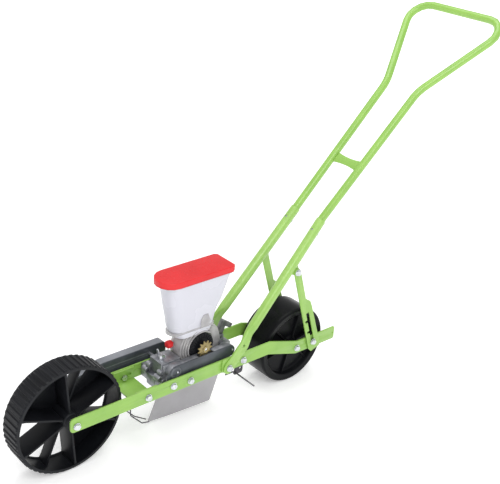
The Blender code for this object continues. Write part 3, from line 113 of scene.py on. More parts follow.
def finish_of(name, light, dark, rough, spread=0.08, metallic=0.0, coat=0.0, patch=18.0, grain=500.0,
              bump=0.1, depth=0.2 * MM, wear_and_glint_colour=None, wear=0.5, alpha=1.0, stretch=None, specular=0.5):
    """A surface whose colour and roughness drift in patches, with a fine grain in its relief."""
    material = bpy.data.materials.new(name)
    material.use_nodes = True
    nodes, links = material.node_tree.nodes, material.node_tree.links
    shader = nodes["Principled BSDF"]
    mottle = nodes.new("ShaderNodeGroup")
    mottle.node_tree = MOTTLE
    mottle.inputs["Patch scale"].default_value = patch
    mottle.inputs["Grain scale"].default_value = grain
    colour = nodes.new("ShaderNodeValToRGB")
    colour.color_ramp.elements[0].color = (*dark, 1)
    colour.color_ramp.elements[0].position = 0.3
    colour.color_ramp.elements[1].color = (*light, 1)
    colour.color_ramp.elements[1].position = 0.7
    links.new(mottle.outputs["Patches"], colour.inputs["Fac"])
    base = colour.outputs["Color"]
    # Sharp edges take a second colour: rubbed wear on most finishes, and a painted highlight on the brass.
    if wear_and_glint_colour:
        wear_and_glint_node = nodes.new("ShaderNodeGroup")
        wear_and_glint_node.node_tree = WEAR_AND_GLINT
        wear_and_glint_node.inputs["Amount"].default_value = wear
        blend = nodes.new("ShaderNodeMix")
        blend.data_type = "RGBA"
        blend.inputs["B"].default_value = (*wear_and_glint_colour, 1)
        links.new(wear_and_glint_node.outputs["Mask"], blend.inputs["Factor"])
        links.new(base, blend.inputs["A"])
        base = blend.outputs["Result"]
    links.new(base, shader.inputs["Base Color"])
    gloss = nodes.new("ShaderNodeMapRange")
    gloss.inputs["To Min"].default_value = rough - spread
    gloss.inputs["To Max"].default_value = rough + spread
    links.new(mottle.outputs["Patches"], gloss.inputs["Value"])
    links.new(gloss.outputs["Result"], shader.inputs["Roughness"])
    height = mottle.outputs["Grain"]
    if stretch:
        place = nodes.new("ShaderNodeTexCoord")
        mapping = nodes.new("ShaderNodeMapping")
        mapping.inputs["Scale"].default_value = stretch
        streaks = nodes.new("ShaderNodeTexNoise")
        streaks.inputs["Scale"].default_value = grain
        links.new(place.outputs["Object"], mapping.inputs["Vector"])
        links.new(mapping.outputs["Vector"], streaks.inputs["Vector"])
        height = streaks.outputs["Fac"]
    relief = nodes.new("ShaderNodeBump")
    relief.inputs["Strength"].default_value = bump
    relief.inputs["Distance"].default_value = depth
    links.new(height, relief.inputs["Height"])
    links.new(relief.outputs["Normal"], shader.inputs["Normal"])
    shader.inputs["Metallic"].default_value = metallic
    shader.inputs["Coat Weight"].default_value = coat
    shader.inputs["Coat Roughness"].default_value = 0.12
    shader.inputs["Specular IOR Level"].default_value = specular
    shader.inputs["Alpha"].default_value = alpha
    return material


GREEN = finish_of("green_powder_coat", (0.29, 0.52, 0.095), (0.24, 0.455, 0.08), 0.36, coat=0.2,
                  grain=900.0, bump=0.12, wear_and_glint_colour=(0.40, 0.62, 0.18), wear=0.8)


def only(piece):
    """Leaves one piece selected and active."""
    bpy.ops.object.select_all(action="DESELECT")
    piece.select_set(True)
    bpy.context.view_layer.objects.active = piece


def softened(node, material, width=0.5 * MM, segments=2, angle=35):
    """Gives a CAD node its finish, rounds its sharp edges a little and shades its round sides smooth."""
    piece = NODES[node]
    piece.data.materials.clear()
    piece.data.materials.append(material)
    only(piece)
    bpy.ops.object.shade_smooth_by_angle(angle=radians(angle))
    weld = piece.modifiers.new("Weld", "WELD")
    weld.merge_threshold = 0.01 * MM
    if width:
        bevel = piece.modifiers.new("Bevel", "BEVEL")
        bevel.width = width
        bevel.segments = segments
        bevel.limit_method = "ANGLE"
        bevel.angle_limit = radians(angle)
        bevel.use_clamp_overlap = True
        bevel.harden_normals = False
    return piece


for side in ("left", "right"):
    softened(f"{side}_front_rail", GREEN)
    softened(f"{side}_rear_rail", GREEN)
    softened(f"{side}_strut", GREEN)
    softened(f"{side}_handle_leg", GREEN, 0.4 * MM)
softened("cross_bracket", GREEN)
softened("handle_brace", GREEN)
softened("handle_loop", GREEN, 0)


# ---------------------------------------------------------------- front wheel
# The drive wheel is one moulding of black plastic: a broad band with fine ribs across its tread,
# thin paddle spokes and four closed sectors. It turns with its axle bolt between the rails.

BLACK = finish_of("black_moulded_plastic", (0.010, 0.011, 0.014), (0.005, 0.0055, 0.007), 0.45,
                  grain=350.0, bump=0.25, wear_and_glint_colour=(0.03, 0.031, 0.036), wear=0.5, specular=0.2)

WHEEL_LOW, WHEEL_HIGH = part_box("front_wheel")
WHEEL_CENTRE = (WHEEL_LOW + WHEEL_HIGH) / 2
WHEEL_RADIUS = (WHEEL_HIGH.z - WHEEL_LOW.z) / 2
WHEEL_HALF = 29.5 * MM


def worn_into_place(piece, name, material, body, slot, *nodes):
    """Names a finished piece, sets its place in its mesh, and ties it to its body."""
    only(piece)
    bpy.ops.object.transform_apply(location=True, rotation=True, scale=True)
    piece.name = name
    piece.data.name = name
    piece.data.materials.clear()
    piece.data.materials.append(material)
    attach(piece, body)
    if nodes:
        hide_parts(*nodes)
    return piece


def mesh_piece(name, shape):
    """An object in the scene made from a bmesh, with its faces turned outward."""
    mesh = bpy.data.meshes.new(name)
    bmesh.ops.recalc_face_normals(shape, faces=shape.faces)
    shape.to_mesh(mesh)
    shape.free()
    piece = bpy.data.objects.new(name, mesh)
    bpy.context.scene.collection.objects.link(piece)
    return piece


def spun(name, profile, centre, steps):
    """A ring turned about a line along X. The profile's points are (radius, x), and it closes."""
    shape = bmesh.new()
    rings = []
    for k in range(steps):
        turn = 2 * pi * k / steps
        rings.append([
            shape.verts.new((centre[0] + x, centre[1] + r * cos(turn), centre[2] + r * sin(turn)))
            for r, x in profile
        ])
    count = len(profile)
    for k in range(steps):
        after = rings[(k + 1) % steps]
        for i in range(count):
            j = (i + 1) % count
            shape.faces.new((rings[k][i], rings[k][j], after[j], after[i]))
    return mesh_piece(name, shape)


def smoothed(piece, angle=35):
    """Shades a piece smooth where its faces meet at less than an angle."""
    only(piece)
    bpy.ops.object.shade_smooth_by_angle(angle=radians(angle))
    return piece


def bevelled(piece, width, segments=2, angle=35):
    """Rounds a piece's sharp edges, for good."""
    only(piece)
    bevel = piece.modifiers.new("Bevel", "BEVEL")
    bevel.width = width
    bevel.segments = segments
    bevel.limit_method = "ANGLE"
    bevel.angle_limit = radians(angle)
    bevel.use_clamp_overlap = True
    bpy.ops.object.modifier_apply(modifier=bevel.name)
    return smoothed(piece, angle)


def tread_band():
    """The band: its tread stands up in narrow ribs that run across it."""
    ribs = 54
    steps = ribs * 6
    tall = WHEEL_RADIUS
    valley = tall - 2.4 * MM
    inner = tall - 6 * MM
    lip = inner - 3 * MM
    half = WHEEL_HALF
    shape = bmesh.new()
    rings = []
    for k in range(steps):
        turn = 2 * pi * k / steps
        on_rib = k % 6 in (0, 1, 2)
        top = tall if on_rib else valley
        edge = tall - 3 * MM
        points = [
            (edge, half), (top - 0.4 * MM, half - 2.6 * MM), (top, half - 3.6 * MM),
            (top, 0), (top, 3.6 * MM - half), (top - 0.4 * MM, 2.6 * MM - half), (edge, -half),
            (lip, -half), (lip, 3 * MM - half), (inner, 6 * MM - half),
            (inner, half - 6 * MM), (lip, half - 3 * MM), (lip, half),
        ]
        rings.append([
            shape.verts.new((x, WHEEL_CENTRE.y + r * cos(turn), WHEEL_CENTRE.z + r * sin(turn)))
            for r, x in points
        ])
    count = len(rings[0])
    for k in range(steps):
        after = rings[(k + 1) % steps]
        for i in range(count):
            j = (i + 1) % count
            shape.faces.new((rings[k][i], rings[k][j], after[j], after[i]))
    return mesh_piece("front_wheel_tread", shape)


def plate_in_wheel(name, outline, low, high):
    """A wall in the wheel: an outline in the wheel's plane (y, z from its centre), from x low to x high."""
    shape = bmesh.new()
    faces = []
    for x in (low, high):
        points = [shape.verts.new((x, WHEEL_CENTRE.y + a, WHEEL_CENTRE.z + b)) for a, b in outline]
        faces.append(shape.faces.new(points))
    count = len(outline)
    first, second = list(faces[0].verts), list(faces[1].verts)
    for k in range(count):
        j = (k + 1) % count
        shape.faces.new((first[k], first[j], second[j], second[k]))
    return mesh_piece(name, shape)


def radial_bar(name, size, place, turn, centre):
    """A small bar (size and place along X and outward) turned about a line along X through a centre."""
    shape = bmesh.new()
    bmesh.ops.create_cube(shape, size=1)
    bmesh.ops.scale(shape, vec=size, verts=shape.verts)
    bmesh.ops.translate(shape, vec=(*place, 0), verts=shape.verts)
    bmesh.ops.rotate(shape, cent=(0, 0, 0), matrix=Matrix.Rotation(turn, 3, "X"), verts=shape.verts)
    bmesh.ops.translate(shape, vec=(0, centre.y, centre.z), verts=shape.verts)
    return mesh_piece(name, shape)


def polar(radius, turn):
    return radius * cos(radians(turn)), radius * sin(radians(turn))


def paddle(name, turn, low, high, thick=4.6 * MM):
    """A spoke that widens a little where it meets the hub and the band."""
    out = WHEEL_RADIUS - 4.5 * MM
    across = (-sin(radians(turn)), cos(radians(turn)))
    points = []
    for side in (1, -1):
        run = [(12 * MM, 1.5), (30 * MM, 1.0), (out - 14 * MM, 1.0), (out, 1.7)]
        for radius, share in run if side > 0 else reversed(run):
            a, b = polar(radius, turn)
            off = side * share * thick / 2
            points.append((a + across[0] * off, b + across[1] * off))
    return plate_in_wheel(name, points, low, high)


def sector_wall(name, start, end, low, high):
    """A closed wall between two spokes, from the hub out to the band."""
    points = [polar(WHEEL_RADIUS - 4.5 * MM, start + (end - start) * k / 8) for k in range(9)]
    points += [polar(16 * MM, end + (start - end) * k / 3) for k in range(4)]
    return plate_in_wheel(name, points, low, high)


wheel_pieces = [smoothed(tread_band(), 20)]
half = WHEEL_HALF
for turn in (24, 95, 159, 204, 275, 339):
    spoke = paddle(f"front_spoke_{turn}", turn, 1 * MM - half, half - 1 * MM)
    wheel_pieces.append(bevelled(spoke, 0.6 * MM))
for turn in (68, 248):
    short_spoke = paddle(f"front_spoke_{turn}", turn, 1 * MM - half, 2 * MM)
    wheel_pieces.append(bevelled(short_spoke, 0.6 * MM))
for start, end in ((24, 46), (95, 159), (204, 226), (275, 339)):
    wall = sector_wall(f"front_wall_{start}", start, end, 3 * MM - half, 7 * MM - half)
    wheel_pieces.append(bevelled(wall, 0.6 * MM))
hub = spun(
    "front_wheel_hub",
    [(5.4 * MM, 31.4 * MM), (16 * MM, 31.4 * MM), (18.5 * MM, 29 * MM), (20 * MM, 12 * MM),
     (20 * MM, -12 * MM), (18.5 * MM, -29 * MM), (16 * MM, -31.4 * MM), (5.4 * MM, -31.4 * MM)],
    (0, WHEEL_CENTRE.y, WHEEL_CENTRE.z), 48,
)
wheel_pieces.append(bevelled(hub, 0.5 * MM))
for count, piece in enumerate(wheel_pieces):
    nodes = ("front_wheel",) if count == 0 else ()
    worn_into_place(piece, piece.name, BLACK, "front_wheel_set", "black_plastic", *nodes)


# ---------------------------------------------------------------- rear wheel
# The press wheel is a wide drum of the same plastic, with a smooth tread and dished faces. It
# turns on a plain sleeve over its bolt.

BLACK_SMOOTH = finish_of("black_press_wheel", (0.007, 0.0075, 0.009), (0.004, 0.0043, 0.005), 0.3,
                         patch=9.0, grain=260.0, bump=0.12, wear_and_glint_colour=(0.02, 0.021, 0.024), wear=0.4,
                         specular=0.1)
# The brass's lighter colour on its sharp edges is a painted highlight, not wear.
BRASS = finish_of("brass_yellow", (0.34, 0.27, 0.115), (0.25, 0.19, 0.08), 0.42, metallic=0.5,
                  grain=700.0, bump=0.2, wear_and_glint_colour=(0.46, 0.39, 0.22), wear=0.8)
softened("rear_wheel_bush", BRASS, 0.3 * MM)

REAR_LOW, REAR_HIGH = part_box("rear_wheel")
REAR_CENTRE = (REAR_LOW + REAR_HIGH) / 2
REAR_RADIUS = (REAR_HIGH.z - REAR_LOW.z) / 2
bore = 8.2 * MM
face = 43 * MM
side_profile = [
    (bore, face + 7 * MM), (bore + 6 * MM, face + 7 * MM), (bore + 7 * MM, face + 5.5 * MM),
    (bore + 9 * MM, face - 12 * MM), (bore + 14 * MM, face - 15 * MM),
    (REAR_RADIUS - 26 * MM, face - 16 * MM), (REAR_RADIUS - 22 * MM, face - 13 * MM),
    (REAR_RADIUS - 19 * MM, face - 3.5 * MM), (REAR_RADIUS - 17 * MM, face - 2 * MM),
    (REAR_RADIUS - 5 * MM, face - 0.3 * MM), (REAR_RADIUS - 2 * MM, face - 1.6 * MM),
    (REAR_RADIUS - 0.4 * MM, face - 4.5 * MM), (REAR_RADIUS, face - 9 * MM),
]
rear_profile = side_profile + [(r, -x) for r, x in reversed(side_profile)]
rear = smoothed(spun("rear_press_wheel", rear_profile, (0, REAR_CENTRE.y, REAR_CENTRE.z), 96), 28)
worn_into_place(rear, "rear_press_wheel", BLACK_SMOOTH, "rear_wheel_set", "black_plastic", "rear_wheel")


def face_rib(name, turn, sign):
    """One of the thin ribs that stiffen a dished face."""
    inner, outer = bore + 8 * MM, REAR_RADIUS - 21 * MM
    size = (10 * MM, outer - inner, 3 * MM)
    place = (sign * (face - 14 * MM), (inner + outer) / 2)
    return radial_bar(name, size, place, radians(turn), REAR_CENTRE)


FACE_RIBS = 6
for label, sign in (("left", 1), ("right", -1)):
    for k in range(FACE_RIBS):
        rib = bevelled(face_rib(f"{label}_face_rib_{k}", 360 / FACE_RIBS * k + 15, sign), 0.8 * MM)
        worn_into_place(rib, rib.name, BLACK_SMOOTH, "rear_wheel_set", "black_plastic")


# ---------------------------------------------------------------- bolts
# Zinc-plated M8 hexagon bolts with plain washers and nuts hold the bars together. The heads are
# forged with a round chamfer on top, and the plating is bright with a blue cast.

ZINC = finish_of("zinc_plate", (0.72, 0.74, 0.77), (0.5, 0.52, 0.56), 0.27, metallic=0.9, patch=120.0,
                 grain=1500.0, bump=0.15, wear_and_glint_colour=(0.86, 0.87, 0.9), wear=0.6)
HEAD_FLATS = 12.6 * MM
HEAD_HIGH = 5.3 * MM
NUT_HIGH = 5 * MM
WASHER_RADIUS = 8.5 * MM
WASHER_WALL = 1.6 * MM
SHANK_RADIUS = 4 * MM
AXLE_SHANK_RADIUS = 5 * MM


def joined_shape(name, shapes):
    """Several shapes in one mesh."""
    bpy.ops.object.select_all(action="DESELECT")
    for shape in shapes:
        shape.select_set(True)
    bpy.context.view_layer.objects.active = shapes[0]
    bpy.ops.object.join()
    shapes[0].name = name
    return shapes[0]


def hexagon(x, place, high, direction, turn=0.0):
    """A hexagon head or nut that starts at x and stands high along direction, with a chamfered top."""
    corner = HEAD_FLATS / 2 / cos(pi / 6)
    bpy.ops.object.select_all(action="DESELECT")
    bpy.ops.mesh.primitive_cylinder_add(
        vertices=6, radius=corner, depth=high,
        location=(x + direction * high / 2, place[0], place[1]), rotation=(turn, pi / 2, 0),
    )
    head = bpy.context.object
    bpy.ops.object.transform_apply(location=True, rotation=True, scale=True)
    bpy.ops.mesh.primitive_cone_add(
        vertices=32, radius1=corner + high * 1.7, radius2=HEAD_FLATS / 2 * 0.97, depth=high,
        location=(x + direction * high / 2, place[0], place[1]), rotation=(0, direction * pi / 2, 0),
    )
    cone = bpy.context.object
    bpy.ops.object.transform_apply(location=True, rotation=True, scale=True)
    only(head)
    chamfer = head.modifiers.new("Chamfer", "BOOLEAN")
    chamfer.operation = "INTERSECT"
    chamfer.object = cone
    bpy.ops.object.modifier_apply(modifier=chamfer.name)
    bpy.data.objects.remove(cone)
    return head


def disc_along(x, place, radius, high, direction, sides=28):
    """A plain round disc or bar that starts at x and runs along X."""
    bpy.ops.object.select_all(action="DESELECT")
    bpy.ops.mesh.primitive_cylinder_add(
        vertices=sides, radius=radius, depth=high,
        location=(x + direction * high / 2, place[0], place[1]), rotation=(0, pi / 2, 0),
    )
    piece = bpy.context.object
    bpy.ops.object.transform_apply(location=True, rotation=True, scale=True)
    return piece


def hex_bolt(node, body, sign, nut=True, shank=SHANK_RADIUS, turn=0.0):
    """A bolt in the place of its CAD node: washer, head, shank and nut along X."""
    low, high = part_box(node)
    place = ((low.y + high.y) / 2, (low.z + high.z) / 2)
    outer = high.x if sign > 0 else low.x
    inner = low.x if sign > 0 else high.x
    seat = outer - sign * (HEAD_HIGH + WASHER_WALL)
    shapes = [
        disc_along(seat, place, WASHER_RADIUS, WASHER_WALL, sign),
        hexagon(seat + sign * WASHER_WALL, place, HEAD_HIGH, sign, turn),
        disc_along(seat, place, shank, abs(seat - inner) - 0.01 * MM, -sign, 20),
    ]
    if nut:
        shapes.append(hexagon(inner + sign * NUT_HIGH, place, NUT_HIGH, -sign, turn + 0.3))
    piece = bevelled(joined_shape(f"{node}_hex", shapes), 0.35 * MM, 2, 25)
    worn_into_place(piece, f"{node}_hex", ZINC, body, "zinc_plate", node)


for side, sign in (("left", 1), ("right", -1)):
    hex_bolt(f"{side}_bracket_bolt", "frame", sign, turn=0.2)
    hex_bolt(f"{side}_rail_bolt", "frame", sign, turn=0.9)
    hex_bolt(f"{side}_front_body_bolt", "frame", sign, nut=False, turn=0.5)
    hex_bolt(f"{side}_rear_body_bolt", "frame", sign, nut=False, turn=0.1)
    hex_bolt(f"{side}_pivot_bolt", "frame", sign, turn=0.7)
    hex_bolt(f"{side}_strut_pin", "frame", sign, turn=0.35)
    hex_bolt(f"{side}_strut_bolt", "handle", sign, nut=False, turn=0.8)
    softened(f"{side}_joint_bolt", ZINC, 0.3 * MM)
hex_bolt("rear_axle", "frame", 1, shank=AXLE_SHANK_RADIUS, turn=0.4)
softened("cross_shaft", ZINC, 0.3 * MM)
softened("roller_shaft", ZINC, 0.3 * MM)

AXLE_LOW, AXLE_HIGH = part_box("front_axle")
axle_place = (WHEEL_CENTRE.y, WHEEL_CENTRE.z)
axle_seat = AXLE_HIGH.x - HEAD_HIGH - WASHER_WALL
axle_shapes = [
    disc_along(axle_seat, axle_place, WASHER_RADIUS, WASHER_WALL, 1),
    hexagon(axle_seat + WASHER_WALL, axle_place, HEAD_HIGH, 1, 0.6),
    disc_along(axle_seat, axle_place, AXLE_SHANK_RADIUS, axle_seat - AXLE_LOW.x, -1, 24),
]
axle = bevelled(joined_shape("front_axle_hex", axle_shapes), 0.35 * MM, 2, 25)
worn_into_place(axle, "front_axle_hex", ZINC, "front_wheel_set", "zinc_plate", "front_axle")


# ---------------------------------------------------------------- castings and chain cases
# The seed body and the left case are pressure-cast aluminium with a sandy skin, bright on rubbed
# edges. The right case is a smooth grey, the covers are dark slate, and chains and sprockets steel.

CAST = finish_of("cast_aluminium", (0.36, 0.37, 0.40), (0.12, 0.125, 0.14), 0.4, metallic=0.65,
                 patch=60.0, grain=420.0, bump=0.5, depth=0.4 * MM, wear_and_glint_colour=(0.62, 0.63, 0.66), wear=0.9)
CASE = finish_of("case_grey", (0.30, 0.31, 0.34), (0.19, 0.20, 0.22), 0.38, metallic=0.3, patch=14.0,
                 grain=600.0, bump=0.2, wear_and_glint_colour=(0.42, 0.43, 0.46), wear=0.8)
SLATE = finish_of("slate_paint", (0.075, 0.085, 0.1), (0.045, 0.052, 0.062), 0.4, metallic=0.2, patch=25.0,
                  grain=600.0, bump=0.2, wear_and_glint_colour=(0.3, 0.31, 0.34), wear=0.8)
STEEL = finish_of("black_steel", (0.075, 0.07, 0.08), (0.035, 0.033, 0.04), 0.4, metallic=0.7, patch=80.0,
                  grain=900.0, bump=0.3, wear_and_glint_colour=(0.35, 0.34, 0.36), wear=0.8)
softened("seed_body", CAST, 1.2 * MM, 3)
softened("left_chain_case", CAST, 0.8 * MM, 2)
softened("left_case_cover", SLATE, 0.7 * MM, 2)
softened("right_chain_case", CASE, 3 * MM, 4)
softened("right_case_cover", SLATE, 0.6 * MM, 2)
for node in ("drive_chain", "metering_chain", "front_sprocket", "cross_input_sprocket",
             "cross_output_sprocket", "idler_sprocket"):
    softened(node, STEEL, 0.2 * MM, 1)


def boss(name, low_x, high_x, place, radius, material, body="frame", slot="casting", hole=0.0):
    """A round boss along X, with a soft edge and, if wanted, a sunk middle."""
    profile = [(radius, low_x), (radius, high_x - 0.8 * MM), (radius - 0.8 * MM, high_x)]
    if hole:
        profile += [(hole, high_x), (hole * 0.9, high_x - 2 * MM)]
        profile.append((0.2 * MM, high_x - 2 * MM))
    else:
        profile.append((0.2 * MM, high_x))
    profile.append((0.2 * MM, low_x))
    piece = smoothed(spun(name, profile, (0, *place), 28), 30)
    return worn_into_place(piece, name, material, body, slot)


def along(y, z):
    """A place from its distance behind the front axle and its height, both in millimetres."""
    return WHEEL_CENTRE.y + y * MM, z * MM


boss("body_boss_front", 12 * MM, 31 * MM, along(231, 147), 7.5 * MM, CAST, hole=3.4 * MM)
boss("body_boss_low", 18 * MM, 34 * MM, along(240, 137), 8.5 * MM, CAST, hole=4 * MM)
boss("body_boss_high", 14 * MM, 27 * MM, along(238, 159), 5.5 * MM, CAST, hole=2.4 * MM)
boss("body_boss_far", -34 * MM, -18 * MM, along(231, 146), 8 * MM, CAST, hole=3.6 * MM)
boss("body_boss_far_high", -28 * MM, -14 * MM, along(236, 160), 6 * MM, CAST, hole=2.6 * MM)
boss("shaft_boss", 22 * MM, 25.5 * MM, along(265, 159), 13 * MM, CAST)
COVER_FACE = 43.6 * MM
boss("cover_rim_front", COVER_FACE, COVER_FACE + 2 * MM, along(265, 160), 14.5 * MM, SLATE,
     slot="slate_paint", hole=10 * MM)
for end, place in (("front", along(270, 160)), ("rear", along(432, 164))):
    boss(f"cover_screw_{end}", COVER_FACE, COVER_FACE + 2.8 * MM, place, 2.6 * MM, ZINC,
         slot="zinc_plate", hole=1.4 * MM)


# ---------------------------------------------------------------- roller, disc and sprocket
# The black disc on the roller's shaft has a ring of moulded ribs, and the yellow pressed sprocket
# in front of it runs on the metering chain.

WHITE = finish_of("white_nylon", (0.8, 0.8, 0.77), (0.7, 0.7, 0.66), 0.45, grain=500.0, bump=0.1)
softened("roller_disc", BLACK, 0.8 * MM)
softened("roller_sprocket", BRASS, 0.4 * MM)
softened("seed_roller", WHITE, 0.3 * MM)
softened("seed_brush", WHITE, 0.3 * MM)
softened("seed_tube", WHITE, 0.4 * MM)
DISC_LOW, DISC_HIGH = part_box("roller_disc")
ROLLER = (DISC_LOW + DISC_HIGH) / 2
DISC_RIBS = 24
for k in range(DISC_RIBS):
    size, place = (2.6 * MM, 11 * MM, 2.6 * MM), (DISC_HIGH.x + 0.8 * MM, 27 * MM)
    rib = bevelled(radial_bar(f"disc_rib_{k}", size, place, 2 * pi * k / DISC_RIBS, ROLLER), 0.7 * MM)
    worn_into_place(rib, rib.name, BLACK, "metering_set", "black_plastic")
roller_axis = (ROLLER.y, ROLLER.z)
boss("sprocket_hub", 36.2 * MM, 41 * MM, roller_axis, 8 * MM, BRASS, "metering_set", "brass_sprocket",
     hole=4.2 * MM)
boss("sprocket_washer", 35.8 * MM, 37.6 * MM, roller_axis, 11 * MM, BRASS, "metering_set", "brass_sprocket")


# ---------------------------------------------------------------- roller housing and hopper
# The hopper is milky plastic and narrows down to the housing, which is clearer. Stepped ribs with
# short webs across them run round the housing's near side, and a small tab stands above them.

MILKY = finish_of("milky_plastic", (0.72, 0.72, 0.79), (0.68, 0.68, 0.75), 0.28, patch=8.0, grain=120.0,
                  bump=0.05, alpha=0.86)
CLEAR = finish_of("clear_plastic", (0.60, 0.59, 0.59), (0.38, 0.37, 0.38), 0.2, patch=40.0, grain=300.0,
                  bump=0.15, alpha=0.62)
softened("roller_housing", CLEAR, 0.8 * MM)
# Each level of the hopper in millimetres: height, front, rear, half width.
HOPPER_LEVELS = (
    (384, 238.5, 429.5, 35), (372, 238.5, 429.5, 35), (369, 240.5, 428, 34.8), (366, 248, 422, 33.8),
    (363, 250.5, 420.5, 33.4), (340, 255, 414, 31.5), (305, 261, 403, 29), (285, 265.5, 392, 27.5),
    (262, 269, 388, 25.5), (250, 272, 388, 22.5), (238, 279, 386, 21.5), (225, 290, 380, 20.5),
)


def hopper_ring(shape, level, front, rear, half, wall):
    """One level of the hopper's wall: round in front, with rounded corners behind."""
    front, rear, half = front + wall, rear - wall, half - wall
    nose = half * 0.95
    corner = 8 - wall
    half_turn = [pi + pi * k / 24 for k in range(25)]
    points = [(half * cos(turn), front + nose + nose * sin(turn)) for turn in half_turn]
    for sign in (1, -1):
        spot = (sign * (half - corner), rear - corner)
        sweep = [pi / 2 * k / 5 for k in range(6)]
        for turn in sweep if sign > 0 else reversed(sweep):
            points.append((spot[0] + sign * corner * cos(turn), spot[1] + corner * sin(turn)))
    return [shape.verts.new((x * MM, *along(y, level))) for x, y in points]


def hopper_shell():
    """The wall as an outer and an inner skin, joined round the rim and open below."""
    shape = bmesh.new()
    skins = [[hopper_ring(shape, *level, wall) for level in HOPPER_LEVELS] for wall in (0, 1.6)]
    rings = skins[0] + skins[1][::-1]
    count = len(rings[0])
    for k, ring in enumerate(rings):
        after = rings[(k + 1) % len(rings)]
        for i in range(count):
            j = (i + 1) % count
            shape.faces.new((ring[i], ring[j], after[j], after[i]))
    return smoothed(mesh_piece("seed_hopper", shape), 50)


worn_into_place(hopper_shell(), "seed_hopper", MILKY, "frame", "clear_plastic", "hopper")


HOUSING_FACE = 15.3 * MM
RIB_WALL = 3.2 * MM


def arc_rib(name, radius, high_x, start=48, end=228):
    """A rib on the housing's face that follows part of a circle round the roller's axis."""
    wall, low_x = RIB_WALL, HOUSING_FACE
    profile = [(radius - wall, low_x), (radius, low_x), (radius + 0.6 * MM, (low_x + high_x) / 2),
               (radius, high_x), (radius - wall, high_x)]
    steps = 40
    shape = bmesh.new()
    rings = []
    for k in range(steps + 1):
        turn = radians(start + (end - start) * k / steps)
        rings.append([
            shape.verts.new((x, ROLLER.y + r * cos(turn), ROLLER.z + r * sin(turn))) for r, x in profile
        ])
    count = len(profile)
    for ring, after in zip(rings, rings[1:]):
        for i in range(count):
            j = (i + 1) % count
            shape.faces.new((ring[i], ring[j], after[j], after[i]))
    shape.faces.new(rings[0])
    shape.faces.new(rings[-1])
    rib = bevelled(mesh_piece(name, shape), 0.7 * MM)
    return worn_into_place(rib, name, CLEAR, "frame", "clear_plastic")


for label, radius, high_x in (
    ("outer", 59, 17.5), ("second", 52.5, 19.5), ("third", 46, 21), ("inner", 39.5, 22.5),
):
    arc_rib(f"housing_rib_{label}", radius * MM, high_x * MM)
for k in range(7):
    size, place = (2 * MM, 22 * MM, 1.4 * MM), (16.4 * MM, 47 * MM)
    web = bevelled(radial_bar(f"housing_web_{k}", size, place, radians(80 + 20 * k), ROLLER), 0.4 * MM)
    worn_into_place(web, web.name, CLEAR, "frame", "clear_plastic")


def clear_tab():
    """The small upright plate on the housing's near side, with a thicker edge."""
    outline = ((346, 244), (368, 242), (372, 258), (365, 276), (352, 276), (346, 266))
    corners = [along(y, z) for y, z in outline]
    shape = bmesh.new()
    near = [shape.verts.new((28 * MM, a, b)) for a, b in corners]
    far = [shape.verts.new((25.6 * MM, a, b)) for a, b in corners]
    outer_face = shape.faces.new(near)
    shape.faces.new(far)
    for k in range(len(corners)):
        j = (k + 1) % len(corners)
        shape.faces.new((near[k], near[j], far[j], far[k]))
    bmesh.ops.inset_region(shape, faces=[outer_face], thickness=2.4 * MM, depth=-1.2 * MM)
    return bevelled(mesh_piece("housing_tab", shape), 0.4 * MM)


worn_into_place(clear_tab(), "housing_tab", CLEAR, "frame", "clear_plastic")


# ---------------------------------------------------------------- lid
# The lid is one red moulding that drops over the hopper's rim, with a rounded edge and rows of low
# dots across its top.

RED = finish_of("red_plastic", (0.72, 0.022, 0.026), (0.63, 0.015, 0.018), 0.42, patch=14.0, grain=300.0,
                bump=0.15, wear_and_glint_colour=(0.9, 0.12, 0.12), wear=0.5, specular=0.35)
softened("hopper_lid", RED, 2.5 * MM, 4)
softened("brush_knob", RED, 1 * MM, 3)
LID_LOW, LID_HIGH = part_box("hopper_lid")
lid_dots = []
for row in range(5):
    for column in range(9):
        if column == 0 and row in (0, 4):
            continue
        place = ((row - 2) * 12.5 * MM, LID_LOW.y + (20 + 18 * column) * MM, LID_HIGH.z - 0.2 * MM)
        bpy.ops.object.select_all(action="DESELECT")
        bpy.ops.mesh.primitive_uv_sphere_add(segments=12, ring_count=6, radius=2.6 * MM, location=place)
        dot = bpy.context.object
        dot.scale = (1, 1, 0.38)
        bpy.ops.object.transform_apply(location=True, rotation=True, scale=True)
        lid_dots.append(dot)
dots = smoothed(joined_shape("lid_dots", lid_dots), 60)
worn_into_place(dots, "lid_dots", RED, "lid", "red_plastic")


# ---------------------------------------------------------------- opener, wire and marker
# The opener is folded from brushed stainless sheet. The wire round its toe is bare black wire, and
# the marker's rod and clamp are blackened steel.

STAINLESS = finish_of("brushed_stainless", (0.42, 0.41, 0.43), (0.33, 0.32, 0.335), 0.4, metallic=0.8,
                      patch=10.0, grain=60.0, bump=0.12, depth=0.3 * MM, wear_and_glint_colour=(0.8, 0.8, 0.82), wear=0.6,
                      stretch=(1.0, 1.0, 22.0))
softened("opener", STAINLESS, 0.3 * MM)
softened("wire_guard", STEEL, 0)
softened("marker_clamp", STEEL, 0.4 * MM)
softened("marker_rod", STEEL, 0)
LATCH_PAINT = finish_of("latch_grey", (0.17, 0.18, 0.17), (0.07, 0.072, 0.075), 0.36, metallic=0.4,
                        patch=60.0, grain=500.0, bump=0.2, wear_and_glint_colour=(0.4, 0.42, 0.4), wear=0.9)
softened("latch_lever", LATCH_PAINT, 1.2 * MM, 3)
softened("wing_nut", ZINC, 0.7 * MM, 3)


# ---------------------------------------------------------------- floor, light and camera
# A plain white floor that brightens away from the machine, under a broad soft sky, with one large
# lamp in front and one overhead.

